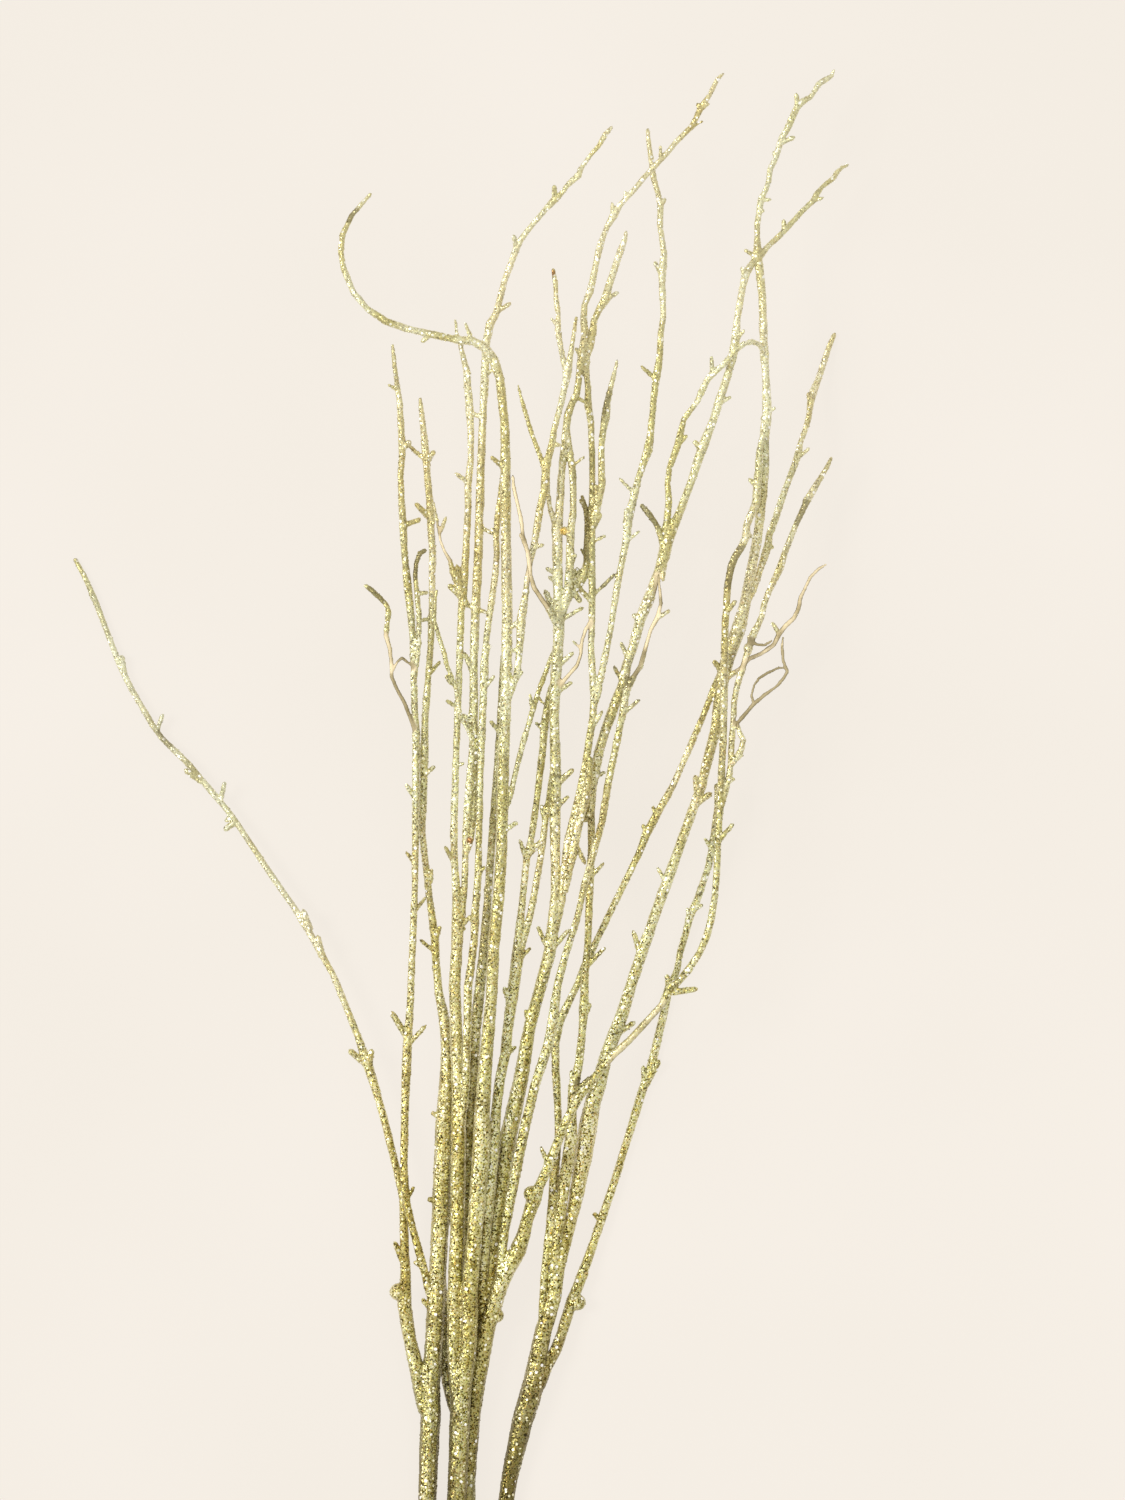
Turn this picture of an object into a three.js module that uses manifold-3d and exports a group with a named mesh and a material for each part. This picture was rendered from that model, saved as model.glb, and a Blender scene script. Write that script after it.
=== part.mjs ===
// A spray of curly willow: four long forked branches gathered side by side and laid down flat.
// Each branch grew as one piece, so each one is a single solid. Millimetres, +Z up; the stems run
// along +Y from their cut ends to the tips, and the spray rests on the plane z = 0.
import * as THREE from 'three';
import { mergeVertices } from 'three/addons/utils/BufferGeometryUtils.js';
import Module from 'manifold-3d';

// ---- Driving dimensions -------------------------------------------------------------------
const CUT_END_Y = -500;        // where all four stems are cut off square
const STEM_RADIUS = 6;         // radius of a branch at its cut end
const RING_SPACING = 12;       // rings are first laid this close along a twig
const RING_TOLERANCE = 0.45;   // then those that its neighbours stand in for this closely go
const THICK_TWIG = 3.4;        // twigs thicker than this get the round section
const FINE_TWIG = 1.75;        // twigs thinner than this get the plain section
const ROUND_SIDES = 8;
const TWIG_SIDES = 5;
const FINE_SIDES = 4;
const SPUR_SIDES = 4;
const TIP_STRETCH = 1.2;       // a twig's point stands this many end radii beyond its last ring
const SPUR_SHOULDER = 0.85;    // a spur narrows this far along its length
const SPUR_TAPER = 0.8;        // to this much of its foot's radius, and then to its point
const KNOB_SEGMENTS = 12;      // sides of a round knob
const SAMPLES_PER_KNOT = 6;    // how finely a path is searched for a spur's foot
const WELD_DISTANCE = 1e-4;    // points closer than this are one corner

const wasm = await Module();
wasm.setup();

// ---- Shapes -------------------------------------------------------------------------------

/** A closed solid from rings of points; the two end points close it as fans. */
function solidFromRings(rings, startPoint, endPoint) {
  const sides = rings[0].length;
  const points = [startPoint, ...rings.flat(), endPoint];
  const index = [];
  const last = points.length - 1;
  const at = (ring, side) => 1 + ring * sides + (side % sides);
  for (let side = 0; side < sides; side += 1) {
    index.push(0, at(0, side + 1), at(0, side));
    index.push(last, at(rings.length - 1, side), at(rings.length - 1, side + 1));
    for (let ring = 0; ring < rings.length - 1; ring += 1) {
      index.push(at(ring, side), at(ring, side + 1), at(ring + 1, side));
      index.push(at(ring, side + 1), at(ring + 1, side + 1), at(ring + 1, side));
    }
  }
  const geometry = new THREE.BufferGeometry().setFromPoints(points);
  geometry.setIndex(index);
  return toSolid(geometry);
}

/** The boolean library's solid for a closed geometry. */
function toSolid(geometry) {
  const welded = mergeVertices(geometry, WELD_DISTANCE);
  const vertProperties = new Float32Array(welded.attributes.position.array);
  const triVerts = new Uint32Array(welded.index.array);
  return new wasm.Manifold(new wasm.Mesh({ numProp: 3, vertProperties, triVerts }));
}

/** Sides of the section that suits a twig's greatest radius. */
function sidesFor(radius) {
  if (radius > THICK_TWIG) return ROUND_SIDES;
  return radius > FINE_TWIG ? TWIG_SIDES : FINE_SIDES;
}

/** The smooth path through the knots, which are [x, y, z, radius]. */
function pathThrough(knots) {
  const points = knots.map(([x, y, z]) => new THREE.Vector3(x, y, z));
  return new THREE.CatmullRomCurve3(points, false, 'centripetal');
}

/** Rings around that path; the radius runs evenly from one knot to the next. */
function ringsAlong(knots, sides) {
  const curve = pathThrough(knots);
  const stations = [];
  for (let i = 0; i < knots.length - 1; i += 1) {
    const [a, b] = [knots[i], knots[i + 1]];
    const steps = Math.max(1, Math.round(Math.hypot(a[0] - b[0], a[1] - b[1]) / RING_SPACING));
    for (let step = 0; step < steps; step += 1) {
      const part = step / steps;
      stations.push({ t: (i + part) / (knots.length - 1), radius: a[3] + part * (b[3] - a[3]) });
    }
  }
  stations.push({ t: 1, radius: knots.at(-1)[3] });
  let across = new THREE.Vector3(1, 0, 0);
  return stations.map(({ t, radius }) => {
    const centre = curve.getPoint(t);
    const along = curve.getTangent(t);
    const up = new THREE.Vector3().crossVectors(across, along).normalize();
    across = new THREE.Vector3().crossVectors(along, up).normalize();
    const ring = [];
    for (let side = 0; side < sides; side += 1) {
      const angle = (side / sides) * Math.PI * 2;
      const point = centre.clone();
      point.addScaledVector(across, Math.cos(angle) * radius);
      point.addScaledVector(up, -Math.sin(angle) * radius);
      ring.push(point);
    }
    return { ring, centre, along, radius };
  });
}

/** How far a ring's centre and radius lie from the straight taper between two others. */
function strayFrom(start, end, station) {
  const span = new THREE.Vector3().subVectors(end.centre, start.centre);
  const reach = new THREE.Vector3().subVectors(station.centre, start.centre);
  const part = THREE.MathUtils.clamp(reach.dot(span) / span.lengthSq(), 0, 1);
  const aside = reach.addScaledVector(span, -part).length();
  return aside + Math.abs(station.radius - THREE.MathUtils.lerp(start.radius, end.radius, part));
}

/** The rings that a run of them needs, its two ends included (Douglas and Peucker's way). */
function neededRings(stations) {
  const [start, end] = [stations[0], stations.at(-1)];
  const strays = stations.map((station) => strayFrom(start, end, station));
  const worst = strays.indexOf(Math.max(...strays));
  if (stations.length < 3 || strays[worst] < RING_TOLERANCE) return [start, end];
  const before = neededRings(stations.slice(0, worst + 1));
  return [...before, ...neededRings(stations.slice(worst)).slice(1)];
}

/** One shoot: a tapering twig along its knots, flat at the foot and pointed at the tip. */
function shootSolid(knots) {
  const sides = sidesFor(Math.max(...knots.map((knot) => knot[3])));
  const stations = neededRings(ringsAlong(knots, sides));
  const foot = stations[0];
  const tip = stations.at(-1);
  const point = tip.centre.clone().addScaledVector(tip.along, tip.radius * TIP_STRETCH);
  return solidFromRings(stations.map((station) => station.ring), foot.centre, point);
}

/** Height of a shoot's centre where it passes closest to (x, y), seen from above. */
function heightAt(knots, x, y) {
  const samples = pathThrough(knots).getPoints(knots.length * SAMPLES_PER_KNOT);
  const distance = (point) => Math.hypot(point.x - x, point.y - y);
  return samples.reduce((best, point) => (distance(point) < distance(best) ? point : best)).z;
}

/** A bud or short cut-back spur from (x0, y0) on its shoot to (x1, y1), rising by rise. */
function spurSolid(knots, [x0, y0, x1, y1, radius, rise]) {
  const z = heightAt(knots, x0, y0);
  const between = (part) => [x0 + part * (x1 - x0), y0 + part * (y1 - y0), z + part * rise];
  const stations = ringsAlong([
    [...between(0), radius],
    [...between(SPUR_SHOULDER), radius * SPUR_TAPER],
  ], SPUR_SIDES);
  const tip = new THREE.Vector3(...between(1));
  return solidFromRings(stations.map((station) => station.ring), stations[0].centre, tip);
}

/** A round knob centred at (x, y), level with its shoot. */
function knobSolid(knots, [x, y, radius]) {
  return wasm.Manifold.sphere(radius, KNOB_SEGMENTS).translate([x, y, heightAt(knots, x, y)]);
}

/** A whole branch: all its shoots, spurs and knobs grown together in one solid. */
function branchMesh(name, shoots, material) {
  const solids = [];
  for (const { knots, spurs = [], knobs = [] } of shoots) {
    solids.push(shootSolid(knots));
    for (const spur of spurs) solids.push(spurSolid(knots, spur));
    for (const knob of knobs) solids.push(knobSolid(knots, knob));
  }
  const whole = solids.reduce((sum, solid) => sum.add(solid));
  const { vertProperties, triVerts } = whole.getMesh();
  const geometry = new THREE.BufferGeometry();
  geometry.setAttribute('position', new THREE.BufferAttribute(vertProperties, 3));
  geometry.setIndex(new THREE.BufferAttribute(triVerts, 1));
  const mesh = new THREE.Mesh(geometry, material);
  mesh.name = name;
  return mesh;
}

// ---- Left branch --------------------------------------------------------------------------
// knots: [x, y, z, radius] along each shoot; spurs: [x0, y0, x1, y1, radius, rise];
// knobs: [x, y, radius].

const LEFT_SHOOTS = [
  { // main stem and, past its last fork, the right of the two upright twigs
    knots: [
      [-14, CUT_END_Y, 6.4, STEM_RADIUS + 0.2], [-16.5, -460, 6.5, 6.0], [-20, -415, 7.5, 5.7],
      [-21.3, -370, 9.5, 5.2], [-20, -335, 11, 5.4], [-19.1, -310, 12, 5.9],
      [-19.3, -291, 12.5, 5.8], [-17.3, -270, 14, 5.1], [-16.2, -250, 16, 5.2],
      [-14.8, -225, 19, 4.8], [-13.8, -203, 22, 4.9], [-12.5, -180, 25, 5.2],
      [-11.6, -155, 28, 5.1], [-10.8, -132, 30, 5.0], [-9, -108, 31, 4.5], [-8.8, -90, 31, 3.7],
      [-10.8, -70, 30.5, 3.0], [-14, -54, 30, 2.3], [-15.5, -38, 30.5, 2.1],
      [-16.5, -20, 31.5, 2.3], [-19.5, 2, 33, 1.8], [-22, 24, 34.5, 1.9], [-24, 42, 36, 2.0],
      [-23.2, 68, 38, 2.4], [-22.6, 92, 40, 2.4], [-22, 112, 41.5, 1.9], [-20.8, 132, 43, 1.9],
      [-18.8, 154, 44.5, 1.7], [-17.6, 178, 46, 2.1], [-17.9, 196, 47, 1.8],
      [-17.4, 211, 47.5, 2.0], [-18.6, 225, 48, 2.2], [-19.2, 240, 49, 2.0], [-20.8, 256, 50, 1.9],
      [-21.4, 267, 50, 2.2], [-22.8, 279, 49.5, 1.6], [-24, 292, 49, 1.4], [-25, 302, 48.5, 0.9],
    ],
    spurs: [
      [-18, -246, -24.5, -238, 1.7, 2], [-15.5, -180, -20.5, -178, 2.0, 2],
      [-13.5, -129, -18.6, -126, 1.8, 2], [-16, -30, -26, -22, 1.4, 4],
      [-15.5, -22, -13, -14, 1.4, 4], [-18.5, 12, -18, 21, 1.2, 3], [-23, 76, -16, 82, 1.4, 4],
      [-18.6, 138, -12.6, 145, 1.2, 4], [-20, 231, -28.5, 240, 2, 5], [-19, 232, -16, 226, 1.3, 3],
      [-21.5, 264, -16, 271, 1.8, 4], [-22, 265, -33.5, 275.5, 1.2, -1],
      [-19, 170, -25.5, 169, 1.2, 3],
    ],
  },
  { // the long outer twig that arches far to the left
    knots: [
      [-21.5, -306, 12, 4.8], [-24.8, -292, 12.3, 4.7], [-28.2, -278, 12.8, 4.1],
      [-31.2, -264, 13.8, 3.7], [-33.2, -252, 14.8, 3.9], [-34.8, -242, 15.6, 4.1],
      [-34.4, -232, 16.6, 3.4], [-34, -222, 17.6, 2.8], [-34.6, -212, 18, 2.5],
      [-35, -195, 19, 2.3], [-35.3, -178, 19.5, 2.2], [-38.6, -164, 20, 2.1],
      [-42, -150, 19.5, 2.2], [-47, -130, 18.5, 2.1], [-52.8, -110, 17.5, 2.3], [-57, -97, 17, 2.8],
      [-62.6, -81, 16.5, 1.9], [-70.6, -61, 15.5, 1.7], [-78, -43, 14.5, 1.7],
      [-84.8, -31, 14, 1.9], [-92, -18, 13.2, 1.9], [-101.3, -3, 12.3, 1.7],
      [-113.4, 14, 11.2, 1.6], [-126.8, 34.5, 10, 1.6], [-141.6, 55.5, 8.8, 1.6],
      [-152.6, 68.6, 7.8, 1.6], [-166.4, 84.6, 6.6, 1.6], [-180.8, 98.6, 5.6, 1.5],
      [-191.4, 114.6, 4.8, 1.5], [-205.6, 141, 3.8, 1.5], [-213, 159.6, 3.1, 1.5],
      [-222, 184, 2.4, 1.4], [-228, 197, 1.9, 1.2], [-233, 206, 1.4, 1],
    ],
    knobs: [[-38.6, -234.2, 4.9]],
    spurs: [
      [-33.5, -222, -41, -203, 1.8, 4], [-57, -98, -68.5, -88.5, 2.3, 3],
      [-56, -99, -54.3, -88, 2.1, 4], [-84.5, -33, -87, -19.5, 2.2, 2], [-92, -17, -96, -4, 2.6, 2],
      [-145.5, 61, -142.5, 73, 1.5, 3], [-157, 72.5, -167.5, 80, 2, 2],
      [-136.5, 48, -143.5, 43, 2, 1], [-138.5, 51, -143, 48.5, 1.4, 1],
      [-183.5, 103, -180, 113.5, 1.4, 2], [-203, 136, -205, 149, 1.7, 1],
      [-222, 182, -224, 187, 1.4, 1],
    ],
  },
  { // twig that leaves the stem low down and rises beside it, then the left upright twig
    knots: [
      [-16.5, -243, 17, 3.2], [-20.2, -232, 19.5, 2.5], [-22.2, -224, 21, 2.3],
      [-25.5, -211, 23, 2.2], [-30, -195, 25, 2.2], [-33, -182, 26.5, 2.3],
      [-34.7, -167, 28.5, 2.3], [-35, -148, 31, 2.3], [-34.4, -128, 33, 2.3],
      [-33.6, -108, 35, 2.5], [-33, -88, 36.5, 2.8], [-31.2, -64, 38, 2.1], [-29.9, -38, 39, 2.1],
      [-29, -10, 39.5, 1.8], [-28.2, 12, 40.5, 1.8], [-27.8, 38, 41.5, 1.9], [-27.5, 60, 42.5, 2.2],
      [-27.6, 82, 43.5, 2.4], [-27.5, 100, 44.5, 2.4], [-28.5, 116, 45.5, 1.9], [-29, 140, 47, 1.9],
      [-29.4, 158, 48.5, 2.0], [-31, 176, 50, 2.3], [-33, 194, 51, 2.3], [-34.5, 210, 52, 2.0],
      [-35.2, 225, 53, 2.3], [-36.2, 242, 54, 1.8], [-36.8, 256, 54.5, 1.7], [-35.8, 268, 55, 1.9],
      [-36, 276, 55, 2.2], [-36.5, 288, 55, 1.6], [-37.2, 299, 55, 1.6], [-38.5, 310, 54.5, 1.4],
      [-40.3, 321, 54, 1.4], [-41.5, 334, 53, 0.8],
    ],
    spurs: [
      [-23.5, -219, -29, -216, 1.6, 2], [-32.5, -178, -28.5, -170, 1.2, 3],
      [-32.5, -82, -43, -64.5, 2.2, 4], [-32.5, -86, -21, -73, 1.6, 3], [-29, -6, -21, 4, 1.3, -2],
      [-29, 24, -34, 31, 1.1, 3], [-28, 62, -33.8, 71.5, 1.6, 4], [-34.5, 226, -24, 230, 1.8, 1],
      [-35.5, 272.5, -30.5, 276.5, 2.2, 1], [-38.2, 307, -44.5, 310.5, 1.2, 3],
    ],
  },
  { // fine curled twig on the left
    knots: [
      [-27, 98, 44, 1.6], [-29, 105, 46, 1.3], [-31.5, 112, 47.5, 1.2], [-34.6, 120, 49, 1.5],
      [-39, 128, 50.5, 1.2], [-42, 135, 51.5, 1.3], [-42.3, 144, 52.5, 1.2],
      [-43.2, 152, 53.5, 1.4], [-45.5, 160, 54.5, 1.6], [-44.8, 167, 55.5, 1.9],
      [-44, 174, 56.5, 1.5], [-45.5, 179, 57, 1.3], [-49.5, 183, 57.5, 1.4],
      [-54.2, 187.4, 58, 1.6], [-58, 190, 58.5, 1.0],
    ],
  },
  { // small loop from the curled twig back to the upright one
    knots: [
      [-42, 138, 52, 1.0], [-38.5, 144.5, 52.5, 1.0], [-35.8, 146.6, 52, 1.3],
      [-32.8, 143.8, 50, 1.0], [-29, 141, 47.5, 0.9],
    ],
  },
  { // hooked fine twig between the two upright ones
    knots: [
      [-28.3, 136, 47, 1.6], [-26.6, 149, 49.5, 1.5], [-25.9, 160, 51, 1.4], [-25.7, 172, 52, 1.6],
      [-26.5, 184, 52.5, 1.5], [-28, 196, 52.5, 1.4], [-27.4, 203.5, 52.5, 1.5],
      [-25.2, 209.5, 52, 1.5], [-22, 211, 51.5, 1.2],
    ],
    spurs: [[-26.5, 150, -24.5, 157, 1.0, 2], [-26.8, 185, -20, 186, 1.5, 1]],
  },
];

// ---- Middle branch, in front --------------------------------------------------------------

const FRONT_SHOOTS = [
  { // main stem, which bends over at the top into the long hoop
    knots: [
      [-7, CUT_END_Y, 16.7, STEM_RADIUS], [-6.7, -460, 16.6, 5.9], [-5, -420, 16.3, 5.7],
      [-3.8, -385, 16.3, 5.6], [-3.3, -359, 16.3, 5.6], [-2.2, -335, 17.1, 5.6],
      [-1.5, -313, 18.6, 5.9], [-0.4, -292, 21, 5.6], [3, -272, 24, 5.0], [4.4, -250, 27, 4.8],
      [4.3, -235, 30, 4.7], [6, -218, 33, 4.4], [7.5, -200, 36, 4.4], [9, -180, 39, 4.4],
      [10.7, -160, 42, 4.6], [12.2, -141, 45, 5.2], [12, -128, 46.5, 4.4], [13, -110, 48, 4.0],
      [14.5, -92, 50, 3.7], [16, -72, 51.5, 3.5], [17.6, -58, 52.5, 3.3], [18.2, -38, 54, 3.3],
      [20, -14, 55.5, 3.4], [22, 4, 57, 3.4], [23.6, 30, 59, 3.2], [24.3, 55, 60, 3.2],
      [24.8, 80, 61, 3.3], [25.8, 102, 62, 3.2], [26.7, 130, 63, 3.1], [27.2, 160, 64, 3.0],
      [27.1, 188, 65, 2.9], [26.5, 212, 65.5, 2.8], [26.3, 234, 66, 2.8], [26.3, 254, 66, 3.0],
      [26.1, 270, 65.5, 2.7], [25.6, 288, 65, 2.5], [24.1, 303, 65, 2.5], [22.7, 314, 65.5, 2.5],
      [19, 325.5, 66.5, 2.6], [14, 332.3, 68, 2.8], [6.5, 336.2, 69, 2.4], [-3, 336.9, 70, 2.1],
      [-15.4, 339.9, 71.5, 1.9], [-32.6, 343.4, 73.5, 1.8], [-45.4, 347.9, 74, 1.9],
      [-56.2, 355.2, 73.5, 1.7], [-64.6, 364.8, 72, 1.5], [-70.6, 379.4, 69.5, 1.5],
      [-72.4, 389.4, 68, 1.4], [-71.4, 400, 66, 1.5], [-65.8, 411.6, 63.5, 1.4],
      [-60.2, 418.6, 62, 1.1], [-54.7, 424.4, 61, 0.8],
    ],
    spurs: [
      [27, 44, 33.5, 48.5, 1.5, 3], [23.5, 101, 16.5, 109.5, 1.5, 4],
      [24.5, 261, 17, 267.5, 1.6, 3], [-2.5, 338, -4, 349.5, 1.1, 3], [6, 337, 1.8, 347.5, 1.3, 4],
      [-18.5, 340.3, -24.4, 335.2, 1.5, -2], [17.5, 327, 13, 320, 1.2, -3],
    ],
  },
  { // second stem of the fork, straight up to the left, ending just under the hoop
    knots: [
      [-2.3, -299, 19.5, 4.5], [-4.6, -279, 22, 3.7], [-5, -258, 24, 4], [-4.6, -236, 26.5, 4.2],
      [-3.2, -214, 29, 4.1], [-2.7, -195, 31, 4.1], [-2.1, -170, 33.5, 4.2], [-2, -142, 36, 4.3],
      [-2.4, -112, 38, 3.7], [-3.4, -82, 40, 3.4], [-4.4, -52, 42, 3.3], [-3.2, -30, 43.5, 3.1],
      [-2.4, -12, 45, 3.6], [-3.3, 4, 46.5, 2.3], [-4.1, 18, 47.5, 2.0], [-4.9, 40, 49, 2.0],
      [-4.3, 60, 50.5, 1.8], [-3.6, 84, 52, 1.8], [-2.7, 105, 53, 1.9], [-2.4, 125, 54, 1.9],
      [-1.8, 145, 55, 1.8], [-0.8, 164, 56, 1.7], [-0.4, 175, 56.5, 1.9], [1, 186, 57, 2.2],
      [1.6, 200, 57.5, 1.9], [2.6, 217, 58, 2.0], [3.8, 235, 58.5, 1.8], [3.7, 250, 59, 2.0],
      [5.4, 266, 59.5, 1.7], [5.4, 282, 60, 1.7], [4.7, 295, 61, 2.2], [3.6, 308, 62, 1.6],
      [2.6, 320, 63, 1.7], [0.3, 328, 64.5, 1.2], [-1.3, 335.5, 66, 0.9],
    ],
    spurs: [
      [-4, -12, 2, -17, 1.6, 2], [-5, 24, -10.8, 34.5, 1.5, 4], [-3, 117, -9.8, 121.5, 1.3, 3],
      [-3.6, 82, 1.8, 83.5, 1.3, 4], [2.5, 178, -3, 190.5, 2.3, 2],
      [-0.8, 184, -8.2, 190.5, 2.2, 2], [0.5, 186, -6.6, 202, 3, 3], [1, 186, -3.2, 203, 2.4, 2],
      [3.4, 252, -4.2, 257.5, 1.6, 3], [3.6, 320, 5, 314, 1.0, 2],
    ],
  },
  { // right fork of that stem, which runs on through the hoop to the top left
    knots: [
      [-2, -16, 45, 3.0], [0.2, -3, 46, 2.2], [1.6, 10, 46.5, 1.8], [2, 24, 47.5, 1.9],
      [2.3, 40, 49, 2.1], [3.8, 56, 50, 2.2], [4.6, 72, 51, 2.4], [6.3, 88, 51.5, 2.4],
      [7.4, 98, 52, 3], [6.4, 108, 52.2, 3.2], [7.1, 118, 52.5, 2.6], [7, 140, 53, 2.4],
      [7.5, 160, 54, 2.7], [8.4, 178, 55, 2.6], [9.2, 195, 56, 2.5], [9.9, 212, 57, 2.7],
      [10.5, 232, 58, 2.5], [11, 252, 59, 2.4], [11.9, 268, 60, 2.3], [12.6, 284, 61, 2.3],
      [12.9, 298, 62, 2.2], [13.8, 314, 63.5, 2.4], [14, 326, 65.5, 2.1], [14.6, 336, 67.5, 2.4],
      [16.8, 346.5, 69, 2.5], [20.2, 351.6, 70, 2], [23.1, 361.7, 71, 1.8], [25.7, 372.5, 72, 1.7],
      [29.3, 383, 73, 1.7], [32.5, 391, 74, 2.0], [35.6, 397, 75, 1.6], [40.5, 403.5, 76, 1.7],
      [45.5, 409, 77, 1.6], [49.5, 414, 78, 1.4], [55.7, 420.8, 79, 2.1], [59.5, 424, 80, 1.3],
      [63.6, 429.5, 80.5, 1.4], [69.8, 434.9, 81, 2], [72, 440, 81.5, 1.2], [77, 447, 82, 1.2],
      [82, 452.5, 82, 1.3], [86, 459.7, 82.5, 1.6], [90, 464, 83, 0.8],
    ],
    spurs: [
      [1, -13, 5.5, -7.5, 1.3, 3], [6, 108, -0.5, 112.5, 2, 2], [7, 137, 1, 150.5, 1.9, 3],
      [3, 31, 6.5, 40, 1.9, 3], [7.4, 177, 1.2, 178.5, 1.5, 1], [11, 225, 19.5, 220.5, 1.3, 2],
      [10, 175.5, 17, 172.8, 1.3, 2], [11.5, 291, 4.6, 293.5, 1.5, 0],
      [14, 316, 19.8, 319.8, 1.3, 1], [21, 353.5, 30, 359.3, 1.4, 3], [32.5, 391, 31, 400, 1.6, 3],
      [55.8, 420, 55.3, 429.5, 1.6, 3], [70, 435, 70.5, 440, 1.3, 2],
    ],
  },
  { // twig that runs beside it and grows back into it
    knots: [
      [2.4, 30, 48, 1.9], [5.6, 38.5, 47.5, 1.8], [6.7, 50, 48, 1.9], [7.3, 65, 49, 1.9],
      [7.8, 80, 50, 1.9], [8, 98, 51.5, 1.8],
    ],
  },
  { // slim twig that grows between the two stems and ends behind the main one
    knots: [
      [-2.2, -142, 37.5, 2.6], [0.2, -128, 40, 2.4], [2.2, -110, 43, 2.3], [2.8, -92, 45, 2.3],
      [3.5, -70, 46.5, 2.3], [3.7, -50, 47.5, 2.5], [5.8, -36, 48.5, 2.3], [7.5, -20, 49, 2.2],
      [7.9, -5, 50, 2.3], [9.7, 15, 51, 2.1], [10.1, 40, 52, 1.9], [10.6, 62, 53, 1.8],
      [11.4, 85, 54.5, 1.6], [12.1, 108, 56, 2.0], [12.9, 125, 57, 2.5], [13.6, 143, 58, 2.5],
      [14.7, 158, 59, 1.8], [16.4, 172, 60, 1.8], [18.3, 184, 60.5, 1.7], [20.1, 197, 61, 1.9],
      [21, 209, 61, 1.7], [20.6, 219, 60.5, 1.7], [21.3, 230, 60, 1.8], [23, 241, 59.5, 1.8],
      [24.3, 252, 59, 1.7], [25.5, 264, 58.5, 1.3],
    ],
    spurs: [
      [9.3, -13, 3.8, -9.5, 1.2, 3], [10, 17, 14, 22, 1.3, 3], [14, 129, 20, 136.5, 1.3, 3],
      [13.8, 150, 18, 154.5, 1.3, 2], [20.6, 219, 17.6, 224.5, 1.2, 2],
    ],
  },
  { // fine bare twig that crosses in front to the left
    knots: [
      [8.2, 89, 53, 1.7], [6, 97.5, 56, 1.3], [3, 105, 58, 1.2], [-1, 112, 59, 1.2],
      [-2.4, 120, 59.5, 1.2], [-3.4, 128, 60, 1.3], [-6.4, 135, 60.5, 1.4], [-9, 142, 61, 1.2],
      [-10.3, 149, 61, 1.4], [-12.8, 156, 60.5, 1.4], [-15, 162.5, 59.5, 1.2],
      [-16.6, 169, 58.5, 1.2], [-16.2, 178, 58, 1.1], [-15.2, 187, 58, 0.8],
    ],
    spurs: [[-6.2, 131, -10, 136.5, 1.3, 2]],
  },
  { // fine bare twig from the leafy bud up to the left
    knots: [
      [-5.6, 199, 59.5, 1.4], [-7.1, 205, 60, 1.4], [-10.4, 210.5, 60.5, 1.1],
      [-12.7, 216.5, 60.5, 1.1], [-13.8, 223, 60.5, 1.1], [-15.4, 231, 60, 1.0],
      [-16.8, 239.5, 59.5, 0.8],
    ],
    spurs: [[-13.4, 221, -9, 231.5, 1.3, 3]],
  },
  { // side twig on the right of the main stem, forked near its end
    knots: [
      [27.2, 122, 63, 2.3], [30.6, 129.5, 64.5, 1.9], [33, 137, 65.5, 1.8], [34.2, 147, 66.5, 1.9],
      [35, 158, 67.5, 2.3], [35.8, 171, 68.5, 2.6], [38, 183, 69.5, 1.9], [39.4, 193, 70.2, 1.7],
      [41, 205, 71, 1.8], [43.3, 214, 72, 2.0], [45, 224, 73, 2.0], [46.8, 236, 74, 2.2],
      [49.6, 248, 75, 2.5], [50.4, 260, 76, 2.3], [52.6, 268.8, 76.5, 2.1], [54.3, 276, 77, 1.9],
      [55.3, 283, 78, 1.7], [57.3, 291, 79, 1.8], [59.5, 299, 80, 1.7], [61.5, 309, 80.5, 2.1],
      [63.6, 318, 81, 2.4], [65.2, 328, 81.5, 1.5], [66.5, 337, 82, 1.4], [68.6, 350, 83, 0.9],
    ],
    spurs: [
      [33.4, 134, 36.5, 139, 1.1, 2], [33.5, 151, 28.8, 151, 1.3, 1],
      [34.8, 169, 28.5, 163.5, 1.6, -1], [43, 212.5, 49.5, 214.5, 1.4, 2],
      [54.5, 274.5, 59.5, 273.5, 1.6, 1], [62.8, 319, 65.8, 325.5, 1.5, 2],
    ],
  },
  { // its left tip
    knots: [
      [49.9, 257, 75.8, 1.6], [47.4, 266, 76.5, 1.4], [44.4, 274, 76.5, 1.4], [41.4, 282, 76, 1.3],
      [38.8, 290, 75.5, 1.2], [36.2, 300, 75, 1.1], [33.6, 310, 74, 0.7],
    ],
  },
  { // its upper left tip
    knots: [
      [62.6, 314, 81, 1.6], [60.4, 324, 81.5, 1.6], [59.2, 333, 82, 1.5], [57.6, 342, 82.5, 1.7],
      [57.9, 351, 83, 1.4], [56.5, 361, 83.5, 1.5], [56.2, 370, 84, 1.4], [54.8, 378.5, 84.5, 1.1],
    ],
    spurs: [[57.5, 345, 53, 350, 1.2, 2]],
  },
  { // slim twig leaning right, behind its neighbour
    knots: [
      [26, 57, 59, 1.9], [29.2, 65, 59.5, 1.6], [31, 73, 59, 1.5], [33.4, 83, 58, 1.4],
      [37, 97, 57, 1.7], [41, 110, 56, 1.4], [45.4, 125, 54.5, 1.4], [49.9, 136.8, 53, 1.4],
      [53.5, 147, 52, 1.2], [56, 153, 51.5, 0.8],
    ],
    spurs: [[42.5, 115, 40.5, 126.5, 1.1, 2], [45, 124, 50, 118, 1.0, 1]],
  },
];

// ---- Middle branch, behind ----------------------------------------------------------------

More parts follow.
